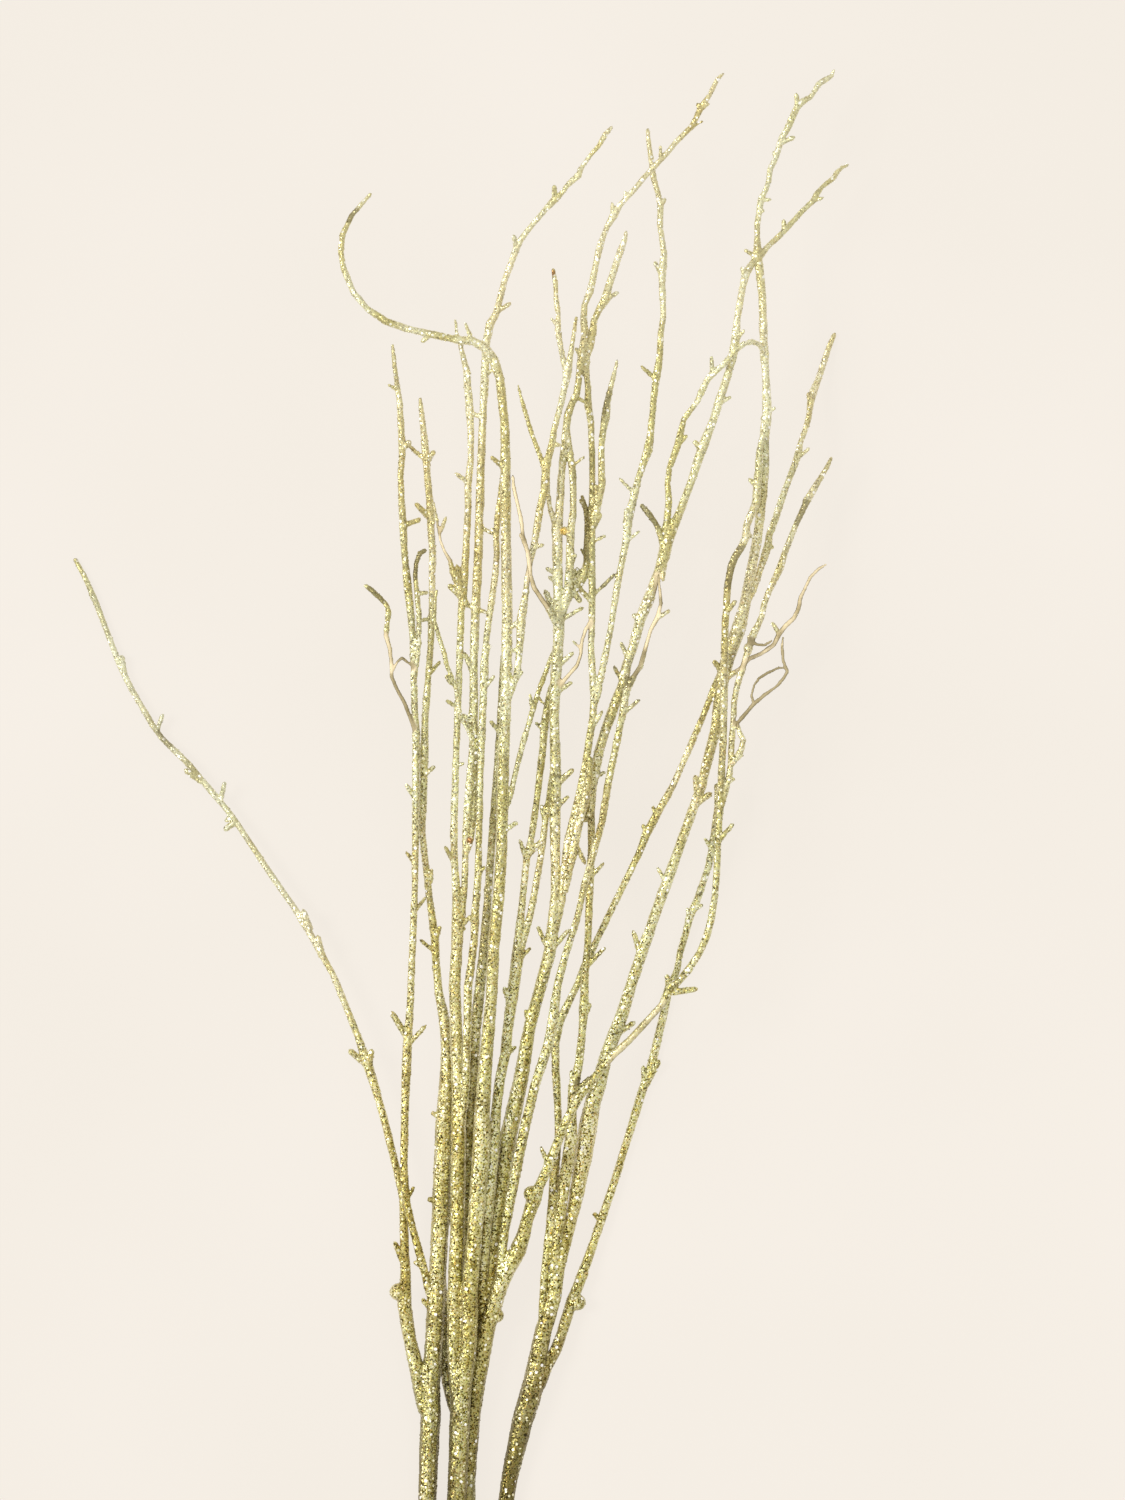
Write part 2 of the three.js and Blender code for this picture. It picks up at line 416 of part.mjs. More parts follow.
const REAR_SHOOTS = [
  { // main stem and its right fork: the long slim twig that crosses over the right branch
    knots: [
      [0, CUT_END_Y, 6.4, STEM_RADIUS + 0.2], [0.3, -460, 6.4, 6.0], [1, -420, 6.3, 5.6],
      [1.8, -385, 6.2, 5.2], [2.2, -359, 6.2, 5.0], [3.6, -335, 7.3, 5.0], [5.2, -313, 9, 5.1],
      [7.2, -296, 11, 5.3], [10.3, -279, 13, 5.1], [13, -266, 15, 4.9], [15.8, -252, 17, 4.8],
      [19.5, -241, 19, 4.6], [23, -230, 21, 4.7], [27.2, -220, 23.5, 4.9], [33, -210, 26, 4.9],
      [36.8, -200, 28.5, 4.0], [39.3, -190, 31, 3.4], [43.2, -178, 33.5, 4.4],
      [46.5, -170, 36, 2.8], [51, -160.5, 39, 2.7], [55.8, -148, 42, 2.6], [62, -132, 44.5, 2.5],
      [70, -117, 47, 2.4], [80, -104, 49.5, 2.3], [90, -92, 51.5, 2.2], [100, -83, 53, 1.9],
      [110, -72, 54.5, 1.9], [120, -61, 56, 2.0], [124.3, -52, 57, 2.8], [130, -47, 57.5, 1.8],
      [136.2, -39.8, 58, 2.1], [142.5, -30, 58.5, 1.8], [146.8, -20, 59, 2], [149.5, -9.8, 59, 2],
      [151.7, 4, 59, 1.7], [152.8, 22, 58.5, 1.9], [153.9, 42, 58, 1.9], [155, 62, 57.5, 1.9],
      [156.2, 85, 57, 2.0], [156.9, 106, 56.5, 2.0], [157, 128, 57, 2.1], [157.2, 148, 58, 2.0],
      [157.6, 165, 59, 1.9], [158.4, 181, 59, 2.0], [159.4, 191, 59, 2.0], [161.3, 201, 59, 2.0],
      [163.6, 207, 58.5, 1.9], [167.2, 212.5, 58, 2.0], [170.3, 219, 57.5, 2.3],
      [170.6, 226, 57, 1.9], [173.6, 233, 56.5, 2.0], [176.2, 239, 56, 2.3], [177, 249, 56, 2.6],
      [178, 262, 56, 2.2], [178.5, 272, 55.5, 1.7], [180.8, 281, 55, 1.3],
    ],
    knobs: [[20.9, -248.6, 4], [42, -175, 4.9]],
    spurs: [
      [52, -158, 47, -146, 1.5, 3], [126, -54, 142, -51.5, 2.3, 2], [124, -55, 123, -42.5, 2, 2],
      [153.8, 37, 163.5, 48, 1.6, 2], [158.3, 173, 164.5, 181.5, 1.5, 3],
      [170.5, 221, 176, 218.2, 1.3, -2], [176.8, 249, 171.5, 254.5, 1.3, 2],
    ],
  },
  { // thick dark stem up the middle, then the long twig to the topmost left
    knots: [
      [10, -281, 12.5, 4.7], [13, -258, 13.5, 4.2], [15.2, -238, 15.5, 4.0],
      [17.2, -220, 17.5, 3.9], [19.4, -200, 20, 3.9], [22.6, -181, 22.5, 4.0],
      [25.2, -161, 25, 4.4], [27.6, -141, 27.5, 4.9], [31, -125, 30, 4.6], [34.8, -109, 32, 4.4],
      [37.4, -93, 34, 3.7], [40.5, -75, 36, 3.5], [44.8, -60, 38, 3.6], [49, -44, 40, 3.3],
      [52.7, -29, 42, 3.6], [54.7, -13, 44, 3.3], [56, 4, 46, 2.6], [56, 22, 48, 2.4],
      [55.7, 42, 50, 2.9], [55.7, 60, 51.5, 3.4], [56.3, 75, 53, 3.1], [55.8, 92, 54, 2.8],
      [55.4, 112, 55.5, 2.6], [56, 130, 57, 3.1], [57.1, 146, 58.5, 2.9], [58.1, 160, 60, 3.1],
      [58, 172, 61, 3.2], [57.6, 186, 62, 2.6], [57.3, 200, 63, 2.9], [57.2, 212, 63.5, 2.9],
      [57, 224, 64, 3.1], [58.3, 234, 64, 2.2], [59.1, 246, 64, 1.9], [60, 260, 64, 1.9],
      [61.2, 271, 64, 2.1], [62.4, 281, 63.5, 2.2], [63.3, 291, 63.5, 2.2], [65.6, 298, 63.5, 2.0],
      [68.9, 305, 63.5, 2.0], [70.1, 314, 64, 1.8], [71, 322, 64, 2.2], [72.6, 330, 64.5, 2.2],
      [73.9, 339, 65, 2.3], [72.9, 349, 65.5, 1.8], [73.5, 358, 66, 1.5], [76.8, 365.8, 66, 2],
      [78.8, 375, 66.5, 1.5], [80.7, 384, 67, 1.5], [82.4, 392, 67, 1.9], [84.6, 398.5, 67, 1.4],
      [87, 404.5, 67, 1.4], [91, 411.5, 67, 2.2], [94.6, 417.5, 67, 1.5], [99, 422.7, 67, 1.5],
      [104, 427.7, 67, 1.4], [109, 434, 67, 1.5], [114, 439.5, 66.5, 1.7], [119, 444.7, 66, 1.7],
      [123.4, 449.2, 65.5, 1.4], [128.2, 455.4, 65, 1.3], [133.2, 460.4, 64.5, 1.3],
      [137.7, 464.8, 64, 1.5], [140.4, 471, 63.5, 1.4], [144, 477.5, 63, 1.5],
      [148, 483, 62.5, 1.2], [150.7, 488.5, 62, 1.1], [153.2, 493.3, 61.5, 1.1],
      [156.5, 496.5, 61, 0.8],
    ],
    spurs: [
      [39.5, -71, 38, -64, 1.4, 3], [50, -25, 45, -13.5, 1.4, 3], [55, -27, 65, -15.5, 1.5, 3],
      [57, 57, 64.5, 64.5, 1.5, 3], [57, 71, 67.5, 80.5, 2.0, 3], [57, 126, 66.5, 132.5, 1.5, 2],
      [57, 143, 53, 146, 1.9, 2], [58, 142, 67.5, 150.5, 1.6, 3], [57.5, 168, 49.3, 188, 2.4, 4],
      [57, 172, 54, 182, 2.0, 3], [58, 168.5, 74, 177.5, 1.4, 2], [56.8, 197, 50, 200.5, 1.6, 4],
      [56.8, 192, 51.5, 195.5, 1.5, 4], [72, 325, 68, 333, 1.3, 2], [68, 303, 76, 298.5, 1.3, 0],
      [90.6, 411, 90, 419.5, 1.5, 2], [98, 422, 97.8, 426, 1.1, 1],
      [118.8, 444.5, 119, 454, 1.2, 2], [137.6, 464.6, 145.2, 468.3, 0.9, 1],
      [142, 474, 141.3, 479.5, 1.1, 1], [143, 475, 148.5, 478.8, 1.1, 1],
    ],
  },
  { // fine twig from it that curls up to the left
    knots: [
      [57.5, 221, 64, 1.7], [54.8, 229, 65, 1.4], [52.8, 236, 66, 1.4], [51.6, 244, 66.5, 1.4],
      [51.2, 252, 66.5, 1.3], [51, 259, 66.5, 0.9],
    ],
  },
  { // twig that springs off beside it at the leafy joint and runs back into it higher up
    knots: [
      [58.5, 170, 61, 2.2], [62, 178, 62, 2.2], [63.4, 187, 63, 2.3], [64.4, 198, 64, 2.3],
      [64.9, 211, 65, 2.2], [65.2, 222, 66, 2.4], [66.6, 234, 66.5, 1.9], [66.7, 246, 66.5, 1.7],
      [66.3, 258, 66, 2.2], [65.2, 267, 65, 1.8], [63.8, 275, 64.5, 1.7], [63, 284, 64, 1.5],
    ],
    knobs: [[61.8, 222.6, 2.4]],
    spurs: [
      [66, 261, 74.5, 268, 1.0, 2], [65.6, 222, 61.5, 222, 2.4, 1], [65, 201, 68.5, 209.5, 1.2, 3],
    ],
  },
  { // dark crossing twig of the leafy joint
    knots: [
      [60.5, 176, 61.5, 1.9], [65.5, 185, 59, 2], [70, 190.5, 57.5, 2.4], [73.2, 196.5, 57, 2.8],
      [74.8, 204, 57, 2], [74.5, 213, 56, 1.5], [74.9, 222, 55, 1.5], [74.9, 230, 54.5, 1.5],
      [73.9, 237, 54.5, 1.4], [72, 243.5, 54.5, 1],
    ],
    spurs: [
      [68, 188, 65.5, 199, 2.2, 1], [70, 191, 69, 201, 2, 1], [67, 186, 71.5, 179.5, 2, 1],
      [75.4, 207, 71, 212, 1.1, 2], [74.9, 234, 70.2, 242, 1, 1],
    ],
  },
  { // fine bare twig from the leafy joint, curling up to the left over its neighbour
    knots: [
      [56.5, 168, 62, 2.2], [52, 175.5, 66, 1.7], [47.3, 182.5, 71, 1.6], [43.3, 188.5, 74, 1.5],
      [41.2, 195.5, 76, 1.4], [40.3, 203.5, 77, 1.4], [39.3, 210.5, 77, 1.4],
      [36.7, 219, 76.5, 1.4], [35.4, 230, 75.5, 1.3], [32.9, 241, 74, 1.3], [31, 249, 72.5, 1.2],
      [30.6, 255, 71.5, 1.0],
    ],
    spurs: [[38.8, 211.5, 34.3, 222, 1.3, 2]],
  },
  { // dark twig that hides behind the front stem
    knots: [
      [9.5, -284, 12, 3.4], [6.6, -263, 13, 3.3], [4.4, -236, 14.5, 3.4], [4, -206, 17, 3.6],
      [4, -175, 20, 3.6], [4.6, -145, 23, 3.6], [5.8, -110, 26, 3.4], [7.8, -78, 29, 3.2],
      [10.4, -52, 31.5, 3.1], [12.8, -32, 33.5, 2.8], [14.6, -10, 35.5, 2.3], [16.5, 15, 38, 2.1],
      [18.5, 40, 40.5, 2.0], [19.8, 62, 42.5, 1.9], [21.1, 82, 44.5, 1.8], [22.5, 105, 46.5, 1.6],
      [23.6, 128, 48, 1.3], [24.2, 148, 49, 0.9],
    ],
  },
  { // low twig that hides behind the left branch and its neighbour
    knots: [
      [3, -319, 8.6, 3.4], [-1.8, -310, 7.4, 3.8], [-5.2, -302, 6.4, 3.8], [-8.4, -288, 5.6, 3.9],
      [-10.6, -272, 5.3, 3.3], [-10.8, -255, 5.2, 3], [-12, -235, 5.5, 2.8],
      [-13.4, -216, 6.3, 2.6], [-12.8, -203, 7.4, 2.6], [-9.4, -190, 9, 2.7], [-7.9, -175, 11, 2.6],
      [-7.8, -155, 13.5, 2.5], [-7.9, -135, 16, 2.3], [-8.2, -115, 18, 1.9], [-8.2, -95, 19.5, 1.5],
      [-7.6, -78, 20.5, 1.0],
    ],
  },
  { // slim twig that rises along the right of the front stem, then its left fork
    knots: [
      [12.2, -252, 14.5, 3.4], [12.2, -234, 18.5, 3.2], [13, -215, 23, 2.8], [14.3, -196, 27, 3],
      [15.8, -178, 31, 3.4], [17.2, -160, 34, 3.8], [18.9, -142, 34.5, 3.6], [20.6, -124, 34, 2.7],
      [22.7, -107, 34, 2.8], [26, -91, 34.5, 3], [27.4, -77, 35, 3], [29.8, -60, 36.5, 3.1],
      [31.8, -46, 38, 3.2], [33.4, -33, 39, 3.5], [34, -20, 40.5, 2.3], [35.4, -7, 42.5, 2.0],
      [37, 8, 44, 1.9], [38.8, 26, 45.5, 1.9], [41.9, 40, 46, 1.8], [44.2, 56, 46.5, 1.8],
      [46.5, 74, 47, 1.9], [48.4, 91, 47.5, 2.0], [49.6, 107, 48.5, 2.4], [51.6, 119, 50.5, 2.2],
      [54.4, 130, 54, 1.9],
    ],
    spurs: [
      [27, -92, 32.5, -86, 1.4, 2], [29.5, -62, 25, -50.5, 2, 3], [38.5, 26, 34.3, 38.5, 1.4, 3],
      [39, 29, 49.5, 37.5, 2.4, 1], [48.8, 103, 44, 108.5, 1.3, 1],
    ],
  },
  { // its right fork
    knots: [
      [33.6, -34, 39, 2.3], [37.8, -20, 40.5, 1.9], [41.3, -6, 42, 1.9], [44.2, 10, 43.5, 1.9],
      [47.8, 30, 45, 2], [50, 48, 47, 1.9], [52.6, 65, 49.5, 1.8], [54.8, 80, 52, 1.7],
    ],
    spurs: [[35.5, -33, 42, -26.5, 1.3, 2], [49.5, 50, 47.6, 59, 1.7, 2]],
  },
  { // right fork of the dark stem and its straight upright twig
    knots: [
      [53.5, -24, 43, 2.9], [57, -11, 44.5, 2.5], [59.6, 0, 45.5, 2.3], [61.6, 18, 46.5, 2.4],
      [63.6, 36, 47.5, 2.7], [66.7, 50, 48.5, 2.4], [70.4, 65, 49.5, 2.1], [73.5, 80, 50.5, 2.1],
      [75.6, 95, 51.5, 2.2], [78.3, 110, 52.5, 2.2], [79.2, 122, 53.5, 2.3], [78.2, 137, 54.5, 1.9],
      [77.4, 152, 55, 1.8], [77.5, 168, 55.5, 1.9], [78.1, 184, 56, 2.1], [77.9, 200, 56, 2.0],
      [77.8, 215, 56, 2.0], [78, 229, 56, 2.3], [78.1, 244, 56, 2.1], [78.1, 260, 56, 1.8],
      [77.8, 276, 56.5, 1.8], [77.3, 288, 57, 1.9], [75.6, 298, 58, 2.4], [75.5, 309, 60, 1.7],
      [74.3, 319, 62.5, 2.0], [74.6, 327, 63.5, 2.2], [77.2, 333.8, 63.5, 2.3],
      [78.3, 341, 63.5, 2.1], [79.3, 348.5, 63, 2.0], [82, 355, 62.5, 2.0], [85.8, 361, 62, 2.8],
      [87.8, 368.6, 61.5, 2.2], [90.4, 376.1, 61, 2.1], [93.2, 384, 60.5, 2.0],
      [95.2, 391, 60, 1.8], [97.2, 396, 59.5, 1.5], [98.4, 401.5, 59, 1.0],
    ],
    spurs: [
      [79, 106, 84.5, 115.5, 1.4, 3], [77.8, 180, 68, 191, 1.7, 3], [70.5, 189, 64, 204.5, 1.4, 3],
      [78.5, 184, 85.5, 190.5, 1.1, 1], [84.5, 189.5, 92.5, 197.5, 1.2, 1],
      [78, 216, 86.8, 220.2, 1.1, 2], [79, 225, 83.5, 233.5, 1.7, 2],
      [85.5, 360.5, 94.3, 366, 1.4, 2],
    ],
  },
  { // light twig that rises beside it and joins it again
    knots: [
      [61.6, 6, 48, 1.9], [64.2, 20, 50, 2.6], [66.8, 32, 51, 2.9], [69.2, 44, 52, 2.5],
      [72, 54, 53, 2.5], [74.2, 64, 53.5, 2.5], [76, 74, 53.5, 2.3], [77, 86, 53.5, 1.5],
    ],
    spurs: [[68.5, 34, 74.5, 22, 1.6, -4]],
  },
  { // fork that leans right from its top, up to the straight tip at the upper right
    knots: [
      [79, 118, 53.3, 2.2], [81.4, 126, 54, 2.1], [83.7, 137, 54.5, 2.0], [86.3, 150, 55, 1.9],
      [89.3, 165, 55.5, 1.8], [91.4, 179, 56, 1.8], [93.2, 191, 56, 1.9], [95.3, 202, 56, 1.8],
      [97.2, 211, 56, 2.0], [98.8, 219, 56, 2.5], [99.3, 228.5, 56, 2.9], [101.6, 237.4, 56, 2.4],
      [103.4, 246, 56, 2.2], [106, 255, 56, 1.9], [109, 264, 55.5, 2.1], [111.5, 271.1, 55.5, 2.8],
      [113, 281, 55, 2.1], [113.8, 291, 54.5, 2.1], [115.1, 301, 54, 1.8], [115.7, 309, 53.5, 1.9],
      [116.7, 316, 53, 2.3], [118.3, 325, 52.5, 1.9], [119.1, 334, 52, 1.9],
      [119.4, 343, 51.5, 1.9], [120.8, 352, 51, 1.7], [120.4, 362, 50.5, 1.9], [120, 371, 50, 1.9],
      [120.1, 379, 49.5, 2.6], [121.3, 388, 49, 1.9], [120.2, 397, 48.5, 1.7],
      [118.7, 406, 48, 1.8], [119.1, 418, 47.5, 2.1], [117.3, 426, 47, 1.6], [115, 434, 46.5, 1.8],
      [114, 442, 46, 1.5], [113, 450, 45.5, 1.5], [111.8, 457, 45, 1.3], [111.4, 463.5, 44.5, 0.9],
    ],
    spurs: [
      [98.5, 216, 107.3, 223.3, 1.1, 2], [99, 226, 98.6, 236.5, 1.9, 3],
      [103, 245.5, 93.5, 255, 1.2, 3], [115.8, 314, 106.8, 322, 1.2, 2],
      [119.8, 376, 115, 384.7, 1.4, 2], [119.2, 417.5, 122.3, 422.5, 1.5, 1],
    ],
  },
  { // dark twig beside the upright one, ending in a bare point
    knots: [
      [78.4, 226, 56, 1.9], [80.6, 234, 57.5, 2.0], [81.8, 242, 58.5, 2.4], [83.8, 249, 59, 2.2],
      [83.9, 257, 59.5, 2], [83.4, 265, 60, 1.8], [83.6, 274, 60.5, 1.8], [84.7, 283, 60.5, 2.1],
      [86, 291, 60, 2.7], [87.2, 300, 59.5, 1.9], [88.8, 307.5, 59, 1.6], [91.1, 315.5, 58, 1.4],
      [93.2, 325, 57, 0.8],
    ],
    spurs: [[81.5, 241, 79.8, 251, 1.5, 3]],
  },
  { // light slim twig that leans right in front, then its bare curly end
    knots: [
      [22.8, -231, 21, 3.2], [23.6, -214, 25, 2.7], [25.8, -196, 28.5, 2.7], [29.2, -176, 32, 2.9],
      [33.3, -155, 35.5, 3.1], [38.3, -132, 39, 3.3], [43.6, -110, 42, 2.8], [50.2, -90, 44.5, 2.8],
      [53.2, -79, 45.6, 3.3], [54.8, -68, 46.5, 2.9], [57.4, -49, 48, 2.4], [62.5, -30, 49.5, 2.1],
      [69, -10, 51, 2.0], [73.3, 10, 52, 2.0], [79, 30, 53, 2.0], [84.3, 50, 53.5, 2.1],
      [87.4, 70.2, 54, 2.1], [91.8, 90, 54.5, 2.1], [95.7, 110, 55, 2.1], [98.8, 127, 56, 2.2],
      [103, 135.5, 57, 1.6], [106.8, 141.3, 57.5, 1.5], [110, 152, 58, 1.2], [113, 163, 58.5, 1.3],
      [117, 170.5, 58.7, 1.7], [119.3, 179, 58.7, 1.2], [118.4, 189, 58.5, 1.1],
      [117.8, 196, 58.2, 0.8],
    ],
    spurs: [[96.5, 113, 107.5, 122.5, 1.2, 2], [116.8, 170, 125, 175.5, 1.4, 2]],
  },
  { // fine curly twig between the two upright ones
    knots: [
      [57, 126, 57.5, 1.8], [60.6, 132.5, 58.5, 1.3], [65, 137.2, 59, 1.2], [69, 142, 59, 1.2],
      [71.2, 148.5, 59, 1.2], [72, 157, 58.5, 1.2], [74.2, 163.5, 58, 1.2], [76.6, 168, 57.2, 1.0],
    ],
    spurs: [[71.5, 152, 65.7, 157.3, 1.0, 2]],
  },
  { // twig that leaves the long slim one on its right and ends in the green tip, low down
    knots: [
      [155.2, 58, 57.5, 1.9], [158.2, 67, 57, 1.7], [160.6, 78, 56, 1.7], [161.7, 92, 55, 1.7],
      [162.2, 106, 54, 1.8], [163.2, 120, 53, 1.7], [165.2, 131, 52, 1.7], [168.2, 141, 51, 1.8],
      [172, 152, 49.5, 2.0], [174.3, 160, 48, 2.3], [177.4, 166, 47, 1.7], [180, 172, 46, 1.7],
      [181.2, 179, 44.5, 1.8], [184, 186.3, 43, 1.7], [187.4, 193.5, 41, 2.0], [191, 201, 39, 2.2],
      [193.8, 210, 37, 1.7], [197, 218.5, 35, 1.7], [201, 228, 33, 1.6], [205, 236, 31, 1.9],
      [208.2, 243, 29, 2.1], [212, 249.5, 27, 1.6], [216.2, 257, 24.5, 1.4],
      [219.3, 261.5, 23, 1.3], [222, 267, 21, 0.8],
    ],
    knobs: [[171.6, 152.5, 2.6]],
    spurs: [
      [160.5, 73, 163.5, 74.5, 1.6, 1], [172.5, 153, 172, 160.5, 1.6, 2],
      [205.3, 237, 206.5, 243.8, 1.6, 1],
    ],
  },
  { // small loop on that twig
    knots: [
      [161, 82, 55.8, 1.7], [165, 87.5, 57, 1.9], [167.6, 92, 58, 1.7], [168.6, 97.5, 58.5, 1.5],
      [166.4, 102, 58, 1.3], [165.2, 107, 56.5, 1.2],
    ],
    spurs: [[162, 84, 168.5, 89.5, 1.8, 2]],
  },
  { // bare twig that leans right from it
    knots: [
      [161.8, 102, 54.4, 1.6], [166, 108.5, 55, 1.2], [170, 113.5, 55.5, 1.2], [175, 119, 56, 1.4],
      [181, 124, 56, 1.2], [188, 129, 55.5, 1.2], [192.6, 133.9, 55, 1.3], [195, 138.5, 54.5, 1.2],
      [192.4, 145.4, 54, 1.2], [192, 152.5, 53.5, 1.1], [192.4, 159, 53, 0.8],
    ],
  },
  { // its fine side loop
    knots: [
      [175, 118.5, 56, 1.1], [173.6, 124, 57, 1.0], [175, 130, 57.5, 1.0], [178, 134.4, 57.5, 1.0],
      [183.3, 137.7, 57, 1.2], [189.8, 140.6, 56, 1], [194.6, 140.5, 54.6, 0.9],
    ],
  },
  { // fine link across to the next bare twig
    knots: [
      [173, 157, 48.8, 1.2], [177, 154.5, 49, 1.0], [181.5, 154.2, 49, 1.0], [186, 157, 48.5, 0.8],
    ],
  },
];

// ---- Right branch -------------------------------------------------------------------------

const RIGHT_SHOOTS = [
  { // main stem up to the fork at the top right, then the topmost tip of the spray
    knots: [
      [12.7, CUT_END_Y, 6, STEM_RADIUS - 0.3], [15, -460, 6, 5.6], [19, -420, 6, 5.2],
      [23.4, -385, 5.8, 4.8], [26.5, -359, 6, 4.6], [28.4, -347, 6.2, 4.8], [30.4, -338, 6.5, 5.3],
      [33, -325, 7, 5.6], [36, -313, 7.5, 6.0], [40, -300, 8.3, 6.6], [43, -289, 9, 6.2],
      [44.8, -279, 10, 5.5], [46.6, -268, 11, 5.0], [49, -257, 12.2, 4.9], [52.3, -247, 13.5, 4.4],
      [55.8, -237, 15, 3.7], [58.2, -220, 16.5, 3.4], [63, -201, 18, 3.3], [67.7, -181, 19.5, 3.9],
      [71, -163, 21, 4.4], [73.7, -149, 22, 5.1], [75.8, -134, 23, 5.3], [78.6, -120, 24, 4.6],
      [82.3, -109, 25, 4.1], [85.8, -94, 26, 3.7], [91, -80, 27, 3.6], [95.9, -68, 28, 3.7],
      [101, -51, 29, 3.2], [108, -30, 30.5, 3.1], [115, -10, 32, 3.0], [122, 10, 33, 3.1],
      [129.5, 30, 34, 3.1], [136.5, 50, 35, 2.9], [143.7, 70, 36, 2.7], [148.5, 90, 37, 2.7],
      [152.4, 105, 38, 3.0], [155, 122, 39, 3.4], [156.4, 135, 40, 3.8], [159.4, 146, 41, 3.8],
      [163, 155, 42, 4.1], [165.7, 163, 42.8, 4.2], [167.6, 170, 43.4, 3.6], [169.6, 178, 44, 3.2],
      [171.8, 191, 45, 2.8], [174.3, 204, 46, 2.6], [177, 217, 47, 2.6], [178.6, 231, 48, 2.4],
      [180.4, 245, 49, 2.5], [181.1, 262, 49, 2.9], [181.1, 277, 49, 2.7], [182.9, 293, 49, 2.7],
      [182.4, 312, 49, 2], [181.2, 330, 49, 2.4], [180.7, 348, 49, 2.1], [180, 364, 49, 2],
      [178.6, 378, 49, 2.2], [177.1, 388, 49, 2.7], [177, 397, 49, 1.7], [177.1, 407, 49, 1.5],
      [178.2, 415.5, 49, 1.5], [179.2, 421.5, 48.5, 1.7], [182, 427, 48, 1.4],
      [184.1, 432.5, 47.5, 1.4], [184.6, 439, 47, 1.6], [188, 446, 46, 1.5],
      [190.2, 452.5, 45, 1.5], [191.8, 458.5, 44, 1.7], [195, 463.7, 43, 1.8], [198, 470, 42, 1.5],
      [201, 477, 41, 1.7], [204.7, 480.6, 40, 1.6], [209.3, 483.3, 39, 1.3], [212, 487.6, 38, 1.2],
      [214.2, 491.2, 37, 1.5], [218.8, 494.2, 36, 1.5], [222, 496, 35, 1.1],
      [223.2, 499.2, 34.5, 0.7],
    ],
    spurs: [
      [92, -80, 104.5, -71.5, 1.9, 2], [107, -31, 102.5, -16.5, 1.8, 3],
      [123, 11, 116.8, 21.5, 1.4, 3], [141.5, 60, 150, 65.8, 2.3, 3], [142, 62, 139.8, 77, 2.3, 3],
      [156, 138, 150.6, 145.5, 1.9, 3], [179.5, 290, 189, 298, 1.1, 2],
      [177.3, 386, 168.8, 391.8, 1.4, 3], [178.8, 421.5, 185.8, 421.2, 1.2, 1],
      [178.4, 415.6, 181, 413.8, 1.5, 1], [191.3, 455.5, 200, 459.2, 1.6, 2],
      [201, 476.5, 200.6, 486, 1.5, 2], [188, 447, 186.7, 450.5, 1.2, 1],
    ],
  },
  { // tip that leans out to the right from the top fork
    knots: [
      [177.4, 386, 49, 2.2], [180.6, 389.8, 48, 1.7], [183.4, 393.3, 47, 1.5],
      [187.4, 397.3, 45.5, 1.6], [191.4, 400.7, 44, 1.7], [195.2, 405, 42.5, 1.9],
      [199.2, 409.2, 41, 1.4], [203.2, 413.8, 39, 1.4], [207.2, 417.6, 37.5, 1.4],
      [210.7, 421, 36, 1.6], [213.3, 425.6, 34.5, 1.7], [216.2, 429.4, 33, 1.2],
      [220, 432.3, 31.5, 1.2], [223, 434.8, 30, 1.3], [225.4, 438.8, 29, 1.2],
      [228.7, 441.7, 27.5, 1.1], [231.8, 442.6, 26.5, 0.8],
    ],
    spurs: [[193.5, 403, 192.7, 409.8, 1.7, 2], [211, 421, 217.3, 423, 1.1, 1]],
  },
  { // left fork, which crosses over to the right and meets the main stem again
    knots: [
      [48.6, -255, 12.8, 3.2], [48.6, -239, 15, 2.4], [49.8, -220, 17, 2.2], [52.4, -200, 19, 2.5],
      [54.5, -180, 21, 2.9], [55.6, -160, 22.5, 2.9], [57.7, -141, 24, 2.1], [57.4, -122, 25, 2.0],
      [56.2, -102, 26, 2.4], [55.8, -85, 26.5, 2.6], [58.7, -71, 27, 2.5], [64, -60, 27.5, 2.5],
      [69.6, -48.5, 28, 2.0], [74, -38, 28.5, 2.4], [78.8, -27, 29, 2.0], [82.7, -18.9, 29.5, 2.1],
      [87, -10, 30, 2.0], [92, 0, 30.5, 2.1], [97, 10, 31, 2.0], [102, 20, 31.5, 2.0],
      [106.6, 30.2, 32, 1.9], [110.6, 41.3, 32.5, 2.6], [116, 50.7, 33, 2.5],
      [120.8, 60.2, 33.5, 2.2], [126.5, 70, 34, 2.0], [131, 80, 34.5, 1.9], [135.4, 90.3, 35, 1.8],
      [139.8, 101, 35.5, 1.9], [144, 110, 36, 1.9], [147.7, 120, 37, 1.9], [151.6, 130, 38.5, 1.9],
      [155, 137, 40, 1.8],
    ],
    spurs: [[111, 42, 108, 47, 1.4, 2], [117, 49.5, 114.2, 58.5, 1.4, 2]],
  },
  { // middle fork, up through the crowded joint to the slim tip that hooks at the top
